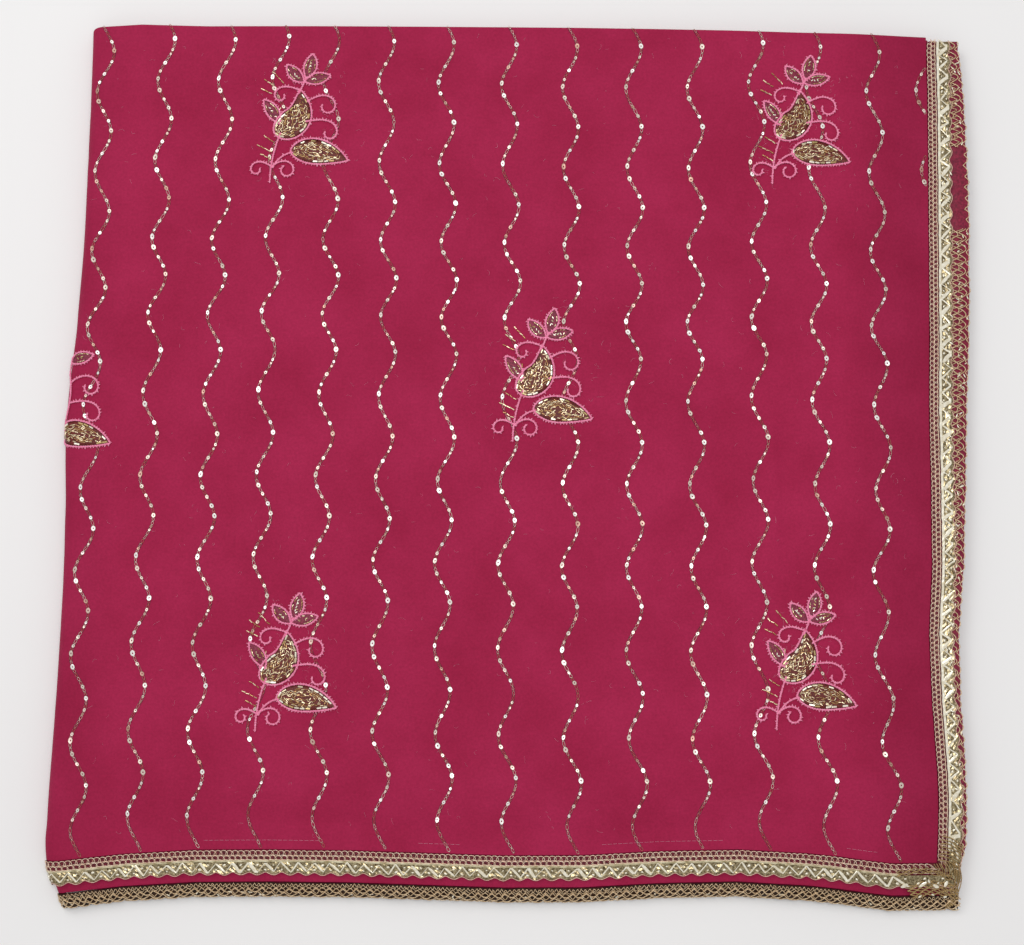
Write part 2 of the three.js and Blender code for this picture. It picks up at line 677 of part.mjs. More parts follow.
piece("face_cloth", faceCloth(), georgette);
piece("back_cloth", backCloth(), georgette);
piece("inner_layers", innerLayers(), georgetteInside);
piece("face_hem_lace", faceHemLace(), goldLace);
piece("face_end_lace", faceEndLace(), goldLace);
piece("back_hem_lace", backHemLace(), goldLace);
piece("back_end_lace", backEndLace(), goldLace);
piece("lower_hem_lace", lowerHemLace(), goldLace);
for (const row of MOTIFS)
  piece(row.name, motif(row, LEAVES, CURLS, LEAF_STEP, CURL_STEP), pinkThread);
piece(FOLD_MOTIF.name, foldMotif(), pinkThread);

// The part's origin is the middle of the floor that it covers
const box = new THREE.Box3().setFromObject(content);
content.position.set(-(box.min.x + box.max.x) / 2, -(box.min.y + box.max.y) / 2, -box.min.z);

export default saree;
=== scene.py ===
"""A folded embroidered saree: georgette, metallic lace, sequins and beaded motifs.

The cloth is one curved sheet, face_at(a, b, lift): a runs along the saree, b across it, and lift is
the height along the sheet's own normal, all in millimetres. Every piece that lies on the cloth goes
through it, and to_frame() then puts the points into the part's frame, in metres.
"""

import functools
import math

import bmesh
import bpy
import numpy as np
from bpy.props import FloatProperty, FloatVectorProperty, IntProperty, PointerProperty
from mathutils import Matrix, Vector


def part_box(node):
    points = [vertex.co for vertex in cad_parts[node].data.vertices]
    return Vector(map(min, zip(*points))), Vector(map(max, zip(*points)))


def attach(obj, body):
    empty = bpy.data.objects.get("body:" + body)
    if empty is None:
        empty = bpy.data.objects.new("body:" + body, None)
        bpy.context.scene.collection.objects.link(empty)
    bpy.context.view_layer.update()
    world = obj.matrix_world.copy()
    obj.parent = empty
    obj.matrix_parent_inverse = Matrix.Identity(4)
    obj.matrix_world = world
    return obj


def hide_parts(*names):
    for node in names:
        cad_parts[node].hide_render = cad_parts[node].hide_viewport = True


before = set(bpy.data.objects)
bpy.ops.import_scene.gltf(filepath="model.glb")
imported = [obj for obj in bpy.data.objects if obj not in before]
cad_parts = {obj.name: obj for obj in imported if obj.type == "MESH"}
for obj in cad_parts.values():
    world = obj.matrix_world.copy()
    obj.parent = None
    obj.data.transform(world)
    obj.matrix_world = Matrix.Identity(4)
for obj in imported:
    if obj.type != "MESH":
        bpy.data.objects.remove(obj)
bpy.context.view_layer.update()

bl_info = {
    "name": "Folded embroidered saree",
    "version": (1, 0, 0),
    "blender": (4, 5, 0),
    "location": "View3D > Sidebar > Saree",
    "description": "Georgette cloth, metallic lace, sequin lines and beaded motifs of a folded saree",
    "category": "Add Mesh",
}

# ---------------------------------------------------------------------------- driving sizes, in mm

PILE_HEIGHT = 19.0  # floor to the face cloth, in the middle
CLOTH = 1.2  # wall of one layer of cloth, with the air in it
SEAM = 0.3  # gap between neighbouring pieces
ROLL = 1.5  # outer radius of the far fold
BACK_DEPTH = 2 * ROLL - CLOTH  # from the face cloth's outer side down to the back cloth's
CORE_DEPTH = 2 * ROLL + SEAM  # and down to the inner layers
LACE_WIDTH = 16.5
SCALLOP_PITCH = 10.5
CORNER = 60.0  # length over which a lace is drawn in towards its mitre
END_DROP, END_SLOPE = 5.5, 75.0  # the face sinks towards the lace at the right
HEM_DROP, HEM_SLOPE = 3.5, 50.0  # towards the near side
FAR_DROP, FAR_SLOPE = 2.0, 60.0  # and towards the far side
FACE_HEM_CURL = 2.5
END_LACE_SINK = 3.0
END_PUFF, END_PUFF_FROM, END_PUFF_LENGTH = 3.9, -60, 260  # the back end lace stands out
END_DRAWN_IN, END_DRAWN_LENGTH = 7.0, 34  # and is drawn in at the near corner
NOSE_X = -292.0  # left of this the near and far edges run straight on round the nose

# Outline of the face cloth seen from above, without its lace: (y, x) or (x, y)
LEFT_FOLD = [
    (-278, -291), (-266, -296.5), (-250, -300.6), (-225, -300.6), (-120, -295.8),
    (-20, -294), (40, -294.6), (100, -289.5), (200, -285.2), (300, -284.3),
]
FAR_FOLD = [
    (-300, 301.5), (-257, 305), (-210, 303.6), (-30, 303), (126, 301), (194, 299), (300, 297),
]
END_EDGE = [
    (-252, 273.5), (-205, 275), (-150, 272.6), (-96, 272), (-44, 275.4), (10, 274.6),
    (115, 277.4), (296, 280.4),
]
HEM_EDGE = [
    (-300, -251.5), (-264, -247), (-180, -243.2), (-50, -245.2), (30, -247), (107, -243.8),
    (184, -245), (244, -252), (260, -252), (292, -252),
]
# How far the back cloth's lace stands out past the face lace at the right: (y, out)
BACK_END_OUT = [
    (-262, 3), (-160, 3.4), (-60, 5.5), (60, 9), (170, 8), (250, 5.5), (296, 1.5),
]
# The back cloth past the face lace at the near side: (out, drop)
BACK_HEM_PROFILE = [(0, 0), (4.6, 0.8), (8, 2.4), (11.5, 4.8), (14.3, 7.3)]
BACK_HEM_HEIGHT = 10.0
BACK_HEM_SEAM = 4.6
BACK_TAPER, BACK_TAPER_LENGTH = 0.35, 40.0
LOWER_LACE_OUT, LOWER_LACE_WIDTH, LOWER_LACE_X = 15.3, 8.0, -278.0
# Broad soft swells of the face: rise, length along x, length along y, turn
SWELLS = [(0.55, 230, 420, 0.6), (0.4, 310, 260, 2.1), (0.3, 190, 510, 4.0)]
X_STATIONS = [-250, -205, -155, -105, -55, -5, 45, 95, 145, 190, 210, 228, 244, 260]
Y_STATIONS = [-232, -214, -194, -150, -105, -60, -10, 40, 90, 140, 190, 235, 258, 280]

# Inner layers: how far each fold's edge stands out, outermost first
FOLDS = [
    {"far": 1.6, "near": 3.2, "end": 2.6},
    {"far": 2.2, "near": 4.1, "end": 3.6},
    {"far": 0.7, "near": 2.0, "end": 0.9},
    {"far": 1.5, "near": 2.6, "end": 0.4},
    {"far": 2.4, "near": 3.8, "end": 2.2},
    {"far": 2.0, "near": 3.2, "end": 3.0},
]
FOLD_POINTS = 6  # points over one fold's round edge
CORE_INSET = 3.2
CORE_END_OUT = 9.0
CORE_END_X = 290.0  # about where the inner layers end at the right
CORE_NEAR_OUT = 9.0
CORE_NEAR_LEAN = 15.0
CORE_NEAR_HEIGHT = 2.4

# Creases pressed into the face: from, to, bow to the side, half-width and rise (below 0 a trough)
CREASES = [
    ((-160, 86), (-164, -96), 5, 8.0, -1.35),
    ((-163, -60), (-168, -249), -2, 2.4, -0.95),
    ((-171, -130), (-174, -249), 1, 4.5, 0.45),
    ((-93, 262), (-95, 70), -3, 9.0, -1.00),
    ((158, 60), (160, -70), 3, 4.6, -0.95),
    ((181, 56), (184, -84), -3, 5.4, -1.00),
    ((170, 62), (172, -78), 0, 4.6, 0.60),
    ((-178, -226), (-30, -231), 3, 4.6, -0.75),
    ((-30, -230), (138, -226), -3, 5.0, -0.70),
    ((238, 284), (268, 214), -7, 3.0, -0.80),
    ((246, 264), (272, 232), 4, 2.8, 0.50),
    ((248, 20), (274, 30), 2, 2.8, -0.65),
    ((252, -70), (275, -58), -2, 3.0, -0.70),
    ((255, -78), (276, -90), 2, 3.3, 0.45),
    ((251, 130), (253, -215), 5, 8.0, -0.75),
    ((262, 200), (264, 60), -3, 5.5, 0.50),
    ((-268, 284), (-257, 120), 8, 8.0, -0.85),
    ((-281, 236), (-272, 60), -4, 4.6, 0.55),
    ((-276, 20), (-283, -190), 4, 6.5, -0.70),
    ((-240, -60), (-262, -235), 6, 10.0, -0.65),
    ((-60, 180), (-52, -40), 7, 15.0, -0.70),
    ((62, 270), (54, 120), -6, 13.0, -0.65),
    ((96, -30), (108, -210), 6, 14.0, -0.65),
    ((-20, -90), (-28, -215), -5, 12.0, -0.55),
    ((-230, 262), (180, 268), 4, 8.0, -0.55),
    ((210, 150), (214, -180), 3, 9.0, -0.60),
]

CREASE_DEPTH = 0.9  # over the depths in the table

# Wavy sequin lines: the middle of each at the far and the near side, how much further away its
# crests lie than those of its neighbours, and how far it bows right in its far and its near half
WAVES = [
    (-272.5, -278.1, -5.5, -2.9, -1.6), (-232.4, -241.9, 3, -2.2, 0.4),
    (-191.8, -203.8, 2.5, -2.3, 1.7), (-155.6, -164.8, 4, -3.8, 0.0),
    (-121.6, -123.9, 2.5, 0.0, -0.3), (-84.5, -84.1, 1, 0.8, 0.5),
    (-44.1, -43.3, 0, 0.4, 0.3), (-1.5, -1.7, -1, -0.5, -0.9),
    (39.6, 40.5, -3, -3.1, -1.4), (82.0, 82.8, -3, -4.2, -1.9),
    (123.0, 123.0, -3.5, -4.4, -0.2), (164.4, 163.7, 0, -2.6, -1.8),
    (203.3, 204.8, -3, -2.8, -1.3), (243.2, 247.0, -6, -4.2, -4.3),
    (277.0, 281.0, -4, 2.6, 1.5),
]
WAVE_FAR_Y, WAVE_NEAR_Y = 276.7, -211.4
BOW_FAR_Y, BOW_FAR_SPREAD = 100, 95
BOW_NEAR_Y, BOW_NEAR_SPREAD = -92, 80
# Where the lines are furthest to the right, from the far side to the near
WAVE_CRESTS = [289.9, 234.2, 179.1, 127.3, 77.3, 21.4, -32.5, -86.2, -142.6, -198.1, -252.4]
# All the lines wander together: (y, further right by)
WAVE_WANDER = [
    (-240, 0), (-216, 0), (-159, -1.6), (-102, -1.8), (-46, -1), (7.5, 0.3), (61, 1.2),
    (113, 2.2), (164, 1.9), (215, 0.8), (268, 0),
]
# What is sewn on over one wave, from its crest on towards the near side: share of the wave, length
# and width in mm, and whether it is bright, that is painted as lit, or else painted as shaded
WAVE_SEQUINS = [
    (-0.03, 3.5, 2.9, True), (0.11, 2.4, 1.8, True), (0.16, 1.8, 1.5, False),
    (0.27, 2.7, 2.2, True), (0.38, 2.4, 1.9, False), (0.47, 3.9, 2.5, True),
    (0.62, 3.5, 2.8, True), (0.735, 2.6, 2.0, False), (0.85, 2.9, 2.4, True),
]
# The hem's machine stitches show here, as (from, to)
SEAM_SHOWS = [(-198, -126), (-60, -34), (58, 136), (215, 234)]
WAVE_BARE = 9.0  # near the hem and the far fold only links show
# The thread under a line is drawn dark on both sides of the links, which also paints their contact shadow
WAVE_THREAD_STEP = 1.5  # between the points of the thread under a line

# The motif about its own centre: one row for each leaf and each cord
LEAVES = [
    {"name": "bud", "base": (-17, -8.5), "tip": (0.2, 20.9), "half": 9.8, "bend": -8, "fat": 0.36},
    {"name": "leaf", "base": (-5.8, -21), "tip": (32.2, -27.5), "half": 8.7, "bend": 2.5, "fat": 0.4},
    {"name": "sprig_left", "base": (2.3, 26.6), "tip": (-9, 38.5), "half": 4, "bend": 0.6, "fat": 0.5},
    {"name": "sprig_top", "base": (4, 29.2), "tip": (8.2, 45.9), "half": 4.2, "bend": -0.5, "fat": 0.5},
    {"name": "sprig_right", "base": (3, 27), "tip": (19.9, 30.9), "half": 3.8, "bend": 0, "fat": 0.5},
    {"name": "side_leaf", "base": (-13.6, -2), "tip": (-24, 14), "half": 4.1, "bend": -0.5, "fat": 0.5},
]
# A curl bends more and more towards its tip where tight is above 1. The numbers of the five rows
# named curl_ are rounded from a curve fit that was made outside this file.
CURLS = [
    {"name": "stem", "from": (-13, -9.5), "heading": 248, "turn": 22, "length": 34.5, "tight": 1},
    {"name": "neck", "from": (-0.4, 19.2), "heading": 68, "turn": -4, "length": 12, "tight": 1},
    {"name": "stalk", "from": (-17.2, -31.5), "heading": 65, "turn": -55, "length": 16, "tight": 1},
    {
        "name": "curl_upper_left", "from": (0.4, 20.6), "heading": 159, "turn": 338,
        "length": 33, "tight": 2.4,
    },
    {
        "name": "curl_upper_right", "from": (5.2, 13.1), "heading": 31, "turn": -325,
        "length": 38.5, "tight": 1.9,
    },
    {
        "name": "curl_lower_right", "from": (4.8, -0.8), "heading": 9, "turn": -300,
        "length": 38.5, "tight": 2.4,
    },
    {
        "name": "curl_foot_left", "from": (-18, -32), "heading": 147, "turn": 343,
        "length": 28.5, "tight": 2.1,
    },
    {
        "name": "curl_foot_right", "from": (-17.5, -31), "heading": 36, "turn": -359,
        "length": 33.5, "tight": 1.6,
    },
]
DASHES = [
    ((-18.7, 33.9), (-11.0, 25.6)), ((-24.4, 28.6), (-16.7, 23.3)), ((-26.2, 21.9), (-18.7, 18.2)),
    ((-24.0, -10.5), (-16.4, -15.5)), ((-28.4, -16.8), (-18.0, -21.9)),
    ((-26.0, -22.9), (-18.0, -27.5)), ((-13.7, 6.5), (-12.7, 10.2)),
]
MOTIFS = {
    "motif_far_left": (-142, 237),
    "motif_far_right": (193, 236),
    "motif_centre": (20, 63),
    "motif_near_left": (-146, -125),
    "motif_near_right": (190, -124),
    "motif_left_fold": (-296, 47),
}
LEFT_FOLD_SHOWS = ["leaf", "neck", "sprig_right", "curl_upper_right", "curl_lower_right"]
BUD_RIM = {"name": "rim", "from": (-6.5, -23.5), "heading": 55, "turn": 65, "length": 49, "tight": 1.5}

# ------------------------------------------------------------------------------ curves and surface


def ease(t):
    t = np.clip(t, 0.0, 1.0)
    return t * t * (3.0 - 2.0 * t)


def lerp(start, end, share):
    return start + (end - start) * share


def curve_through(rows):
    """A smooth curve through a table of (key, value), held at its ends."""
    keys, values = np.array(rows, float).T
    before = np.maximum(np.arange(len(keys)) - 1, 0)
    after = np.minimum(np.arange(len(keys)) + 1, len(keys) - 1)
    slopes = (values[after] - values[before]) / (keys[after] - keys[before])

    def at(key):
        key = np.asarray(key, float)
        i = np.clip(np.searchsorted(keys, key, side="right") - 1, 0, len(keys) - 2)
        span = keys[i + 1] - keys[i]
        t = np.clip((key - keys[i]) / span, 0.0, 1.0)
        start = values[i] + slopes[i] * span * t
        end = values[i + 1] - slopes[i + 1] * span * (1 - t)
        return lerp(start, end, ease(t))

    return at


def straight_between(stations, curve):
    """The same curve, straight from one station to the next, as neighbouring edges share it."""
    values = curve(np.array(stations, float))
    return lambda key: np.interp(key, stations, values)


ACROSS = [NOSE_X, *X_STATIONS, HEM_EDGE[-1][0]]
ALONG = [END_EDGE[0][0], *Y_STATIONS, END_EDGE[-1][0]]
left_fold = curve_through(LEFT_FOLD)
far_fold = straight_between(ACROSS, curve_through(FAR_FOLD))
hem_line = straight_between(ACROSS, curve_through(HEM_EDGE))
end_edge = straight_between(ALONG, curve_through(END_EDGE))
back_end_out = straight_between(ALONG, curve_through(BACK_END_OUT))
back_hem_drop = curve_through(BACK_HEM_PROFILE)


def fold_line(a):
    return far_fold(a) - ROLL


def face_height(x, y):
    """Height of the smooth face above the floor."""
    to_end = ease((x - (end_edge(y) + LACE_WIDTH - END_SLOPE)) / END_SLOPE)
    to_hem = ease((hem_line(x) + HEM_SLOPE - y) / HEM_SLOPE)
    to_far = ease((y - (far_fold(x) - FAR_SLOPE)) / FAR_SLOPE)
    past_hem = np.clip((hem_line(x) - y) / LACE_WIDTH, 0, 1)
    z = PILE_HEIGHT - END_DROP * to_end - HEM_DROP * to_hem * (1 - 0.4 * to_end)
    z = z - FAR_DROP * to_far - FACE_HEM_CURL * past_hem
    for rise, length_x, length_y, turn in SWELLS:
        z = z + rise * np.sin((x / length_x + y / length_y) * 2 * math.pi + turn)
    return z


def nose_radius(y):
    return face_height(left_fold(y) + PILE_HEIGHT / 2, y) / 2


def nose_start(y):
    return left_fold(y) + nose_radius(y)


def nose_end(y):
    return nose_start(y) - math.pi * nose_radius(y)


def stack(*parts):
    return np.stack(np.broadcast_arrays(*parts), axis=-1).astype(float)


def unit(vectors):
    return vectors / np.maximum(np.linalg.norm(vectors, axis=-1, keepdims=True), 1e-12)


def smooth_face(a, b):
    """Points and normals of the face cloth's outer side before it is creased."""
    y = np.minimum(b, fold_line(a))
    start, radius = nose_start(y), nose_radius(y)
    step = 0.5
    slope_x = (face_height(a + step, y) - face_height(a - step, y)) / (2 * step)
    slope_y = (face_height(a, y + step) - face_height(a, y - step)) / (2 * step)
    turn = np.clip((start - a) / radius, 0, math.pi)
    top = lerp(face_height(start, y), 2 * radius, ease(turn))
    on_nose = (a < start)[..., None]
    nose = stack(start - radius * np.sin(turn), y, radius + (top - radius) * np.cos(turn))
    point = np.where(on_nose, nose, stack(a, y, face_height(a, y)))
    level = unit(stack(-slope_x, -slope_y, 1.0))
    normal = np.where(on_nose, stack(-np.sin(turn), 0.0, np.cos(turn)), level)
    over = np.clip((b - y) / ROLL, 0, math.pi)[..., None]
    away = np.array([0.0, 1.0, 0.0])
    point = point + away * ROLL * np.sin(over) - normal * ROLL * (1 - np.cos(over))
    return point, normal * np.cos(over) + away * np.sin(over)


@functools.lru_cache(maxsize=None)
def noise_lattice(seed):
    return np.random.RandomState(seed).uniform(-1, 1, (256, 256))


def soft_noise(u, v, size, seed):
    """Smooth noise from -1 to 1, with lumps about size across."""
    lattice = noise_lattice(seed)
    u, v = u / size + 128, v / size + 128
    i, j = np.floor(u).astype(int) % 255, np.floor(v).astype(int) % 255
    s, t = ease(u - np.floor(u)), ease(v - np.floor(v))
    low = lerp(lattice[i, j], lattice[i + 1, j], s)
    high = lerp(lattice[i, j + 1], lattice[i + 1, j + 1], s)
    return lerp(low, high, t)


def creasing(a, b):
    """Rise of the cloth over its smooth form: pressed creases, and the give of a soft pile."""
    rise = np.zeros(np.broadcast(a, b).shape)
    for start, end, bow, width, depth in CREASES:
        run = np.subtract(end, start)
        long = math.hypot(*run)
        t = ((a - start[0]) * run[0] + (b - start[1]) * run[1]) / long**2
        side = ((b - start[1]) * run[0] - (a - start[0]) * run[1]) / long
        wander = soft_noise(t * long, side * 0 + width, 22.0, 7) * 0.35 * width
        off = (side - bow * 4 * t * (1 - t) - wander) / width
        fade = ease(t / 0.25) * ease((1 - t) / 0.25)
        rise = rise + CREASE_DEPTH * depth * np.exp(-off * off) * fade
    rise = rise + 0.24 * soft_noise(a, b, 46.0, 11) + 0.13 * soft_noise(a, b, 19.0, 12)
    rise = rise + 0.05 * soft_noise(a, b, 8.5, 13)
    # The cloth lies flat where it turns under the pile
    return rise * ease((fold_line(a) + 2 - b) / 12) * ease((a + 303) / 8)


def face_at(a, b, lift=0.0):
    """Points of the creased face cloth's outer side, moved out by lift."""
    a, b = np.broadcast_arrays(np.asarray(a, float), np.asarray(b, float))
    point, normal = smooth_face(a, b)
    return point + normal * (creasing(a, b) + lift)[..., None]


def face_normal(a, b):
    step = 0.6
    along = face_at(a + step, b) - face_at(a - step, b)
    across = face_at(a, b + step) - face_at(a, b - step)
    return unit(np.cross(along, across))


def back_at(a, b, lift=0.0):
    """Points of the back cloth's outer side. Past the face lace it bends down to the floor."""
    a, b, lift = (np.asarray(v, float) for v in np.broadcast_arrays(a, b, lift))
    bend = hem_line(a) - LACE_WIDTH
    out = np.maximum(bend - b, 0.0)
    point = face_at(a, np.maximum(b, bend), lift - BACK_DEPTH)
    surface = face_at(a, bend, -BACK_DEPTH)
    start = nose_start(bend)
    height = face_height(np.maximum(a, start), bend) - BACK_DEPTH
    above = np.clip(surface[..., 2] / height, 0, 1)
    above = above * np.minimum(1, (height - CLOTH) / BACK_HEM_HEIGHT)
    step = 0.4
    slope = (back_hem_drop(out + step) - back_hem_drop(out - step)) / (2 * step)
    past = (out > 0) * 1.0
    point[..., 0] += BACK_TAPER * out * (1 - ease((a - start) / BACK_TAPER_LENGTH))
    point[..., 1] -= past * (out + lift * slope * above / np.hypot(1, slope))
    point[..., 2] -= back_hem_drop(out) * above * past
    return point


def frame_shift():
    """From the tables' own zero to the part's frame: both give the face cloth's left and far side."""
    low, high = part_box("face_cloth")
    rows = np.array([hem_line(NOSE_X) + SEAM / 2, *Y_STATIONS])
    return np.array([
        low[0] * 1000 - left_fold(rows).min(),
        high[1] * 1000 - far_fold(np.array(ACROSS)).max(),
        0.0,
    ])


SHIFT = frame_shift()


def to_frame(points):
    return (np.asarray(points) + SHIFT) / 1000.0


# ------------------------------------------------------------------------------------ mesh makers


def linear(colour):
    """An sRGB hex colour as linear red, green, blue and 1."""
    parts = [int(colour[i : i + 2], 16) / 255 for i in (1, 3, 5)]
    return tuple(c / 12.92 if c <= 0.04045 else ((c + 0.055) / 1.055) ** 2.4 for c in parts) + (1.0,)


def mesh_piece(name, points, faces, material=None, uv=None, sharp_over=None):
    """An object at the origin from points in the frame, in metres, and lists of faces."""
    mesh = bpy.data.meshes.new(name)
    mesh.from_pydata(np.asarray(points).tolist(), [], faces)
    if uv is not None:
        layer = mesh.uv_layers.new(name="cloth")
        corners = np.empty(len(mesh.loops), int)
        mesh.loops.foreach_get("vertex_index", corners)
        layer.data.foreach_set("uv", np.asarray(uv, np.float32)[corners].ravel())
    mesh.polygons.foreach_set("use_smooth", [True] * len(mesh.polygons))
    if sharp_over is not None:
        mesh.set_sharp_from_angle(angle=sharp_over)
    if material:
        mesh.materials.append(material)
    mesh.validate()
    made = bpy.data.objects.new(name, mesh)
    bpy.context.scene.collection.objects.link(made)
    return made


def grid_faces(rows, columns, first=0, flip=False):
    i, j = np.meshgrid(np.arange(rows - 1), np.arange(columns - 1), indexing="ij")
    corner = first + i * columns + j
    quads = np.stack([corner, corner + 1, corner + columns + 1, corner + columns], -1).reshape(-1, 4)
    return quads[:, ::-1] if flip else quads


def shell(outer, inner, uv=None):
    """A closed wall: outer[row, column] has inner's points a whole number of times more often."""
    rows, columns = outer.shape[:2]
    few_rows, few_columns = inner.shape[:2]
    every = (rows - 1) // (few_rows - 1)
    below = rows * columns
    faces = grid_faces(rows, columns).tolist()
    faces += grid_faces(few_rows, few_columns, below, flip=True).tolist()

    def rim(top, under, turned):
        for k in range(len(under) - 1):
            steps = top[k * every : (k + 1) * every + 1]
            face = [*steps, under[k + 1], under[k]]
            faces.append(face if turned else face[::-1])

    top = np.arange(below).reshape(rows, columns)
    under = below + np.arange(few_rows * few_columns).reshape(few_rows, few_columns)
    rim(top[0].tolist(), under[0].tolist(), False)
    rim(top[-1].tolist(), under[-1].tolist(), True)
    rim(top[:, 0].tolist(), under[:, 0].tolist(), True)
    rim(top[:, -1].tolist(), under[:, -1].tolist(), False)
    points = np.concatenate([outer.reshape(-1, 3), inner.reshape(-1, 3)])
    if uv is not None:
        uv = np.concatenate([uv.reshape(-1, 2), uv[::every, ::every].reshape(-1, 2)])
    return points, faces, uv


def euler_of(tangent, normal):
    """The turn that takes X to the tangent and Z to the normal."""
    side = unit(np.cross(normal, tangent))
    tangent = np.cross(side, normal)
    about_y = -np.arcsin(np.clip(tangent[..., 2], -1, 1))
    about_x = np.arctan2(side[..., 2], normal[..., 2])
    about_z = np.arctan2(tangent[..., 1], tangent[..., 0])
    return stack(about_x, about_y, about_z)


def resampled(path, pitch, surface, offset=0.0):
    """Places every pitch mm along a line of (a, b) on a surface, with the line's direction there."""
    points = surface(path[:, 0], path[:, 1])
    travelled = np.concatenate([[0.0], np.cumsum(np.linalg.norm(np.diff(points, axis=0), axis=1))])
    if np.isscalar(pitch):
        count = max(1, int((travelled[-1] - offset) / pitch))
        wanted = offset + np.arange(count + 1) * pitch
    else:
        wanted = np.asarray(pitch)
    wanted = wanted[wanted <= travelled[-1] + 1e-6]
    at = np.stack([np.interp(wanted, travelled, path[:, k]) for k in (0, 1)], -1)
    ahead = np.stack([np.interp(wanted + 0.3, travelled, path[:, k]) for k in (0, 1)], -1)
    behind = np.stack([np.interp(wanted - 0.3, travelled, path[:, k]) for k in (0, 1)], -1)
    return at, unit(ahead - behind)


def on_face(at, heading, lift):
    """Points and turns of shapes that lie on the face at (a, b), pointing along heading."""
    here = face_at(at[:, 0], at[:, 1], lift)
    ahead = face_at(at[:, 0] + 0.5 * heading[:, 0], at[:, 1] + 0.5 * heading[:, 1], lift)
    return here, euler_of(unit(ahead - here), face_normal(at[:, 0], at[:, 1]))


# -------------------------------------------------------------------------------- node trees


def add(tree, kind, values=None, **settings):
    """Adds a node. values sets inputs by name or number, and an output given as one is linked."""
    made = tree.nodes.new(kind)
    for key, value in settings.items():
        setattr(made, key, value)
    for key, value in (values or {}).items():
        if isinstance(value, bpy.types.NodeSocket):
            tree.links.new(value, made.inputs[key])
        else:
            made.inputs[key].default_value = value
    return made


def new_tree(name, inputs):
    tree = bpy.data.node_groups.new(name, "GeometryNodeTree")
    tree.interface.new_socket("Geometry", in_out="OUTPUT", socket_type="NodeSocketGeometry")
    for label, kind in inputs:
        tree.interface.new_socket(label, in_out="INPUT", socket_type="NodeSocket" + kind)
    return tree, add(tree, "NodeGroupInput").outputs


def cord_tree():
    """A round cord along every line of edges, as thick as the radius stored on its points."""
    tree, given = new_tree(
        "Cord along a line", [("Lines", "Geometry"), ("Sides", "Int"), ("Material", "Material")]
    )
    curve = add(tree, "GeometryNodeMeshToCurve", {"Mesh": given["Lines"]})
    thick = add(tree, "GeometryNodeInputNamedAttribute", {"Name": "thick"}, data_type="FLOAT")
    radius = add(
        tree,
        "GeometryNodeSetCurveRadius",
        {"Curve": curve.outputs["Curve"], "Radius": thick.outputs["Attribute"]},
    )
    ring = add(
        tree, "GeometryNodeCurvePrimitiveCircle", {"Resolution": given["Sides"], "Radius": 1.0}
    )
    tube = add(
        tree,
        "GeometryNodeCurveToMesh",
        {
            "Curve": radius.outputs["Curve"],
            "Profile Curve": ring.outputs["Curve"],
            "Fill Caps": True,
        },
    )
    if "Scale" in tube.inputs:
        tree.links.new(thick.outputs["Attribute"], tube.inputs["Scale"])
    whole = add(tree, "GeometryNodeRealizeInstances", {"Geometry": tube.outputs["Mesh"]})
    dressed = add(
        tree,
        "GeometryNodeSetMaterial",
        {"Geometry": whole.outputs["Geometry"], "Material": given["Material"]},
    )
    add(tree, "NodeGroupOutput", {"Geometry": dressed.outputs["Geometry"]})
    return tree


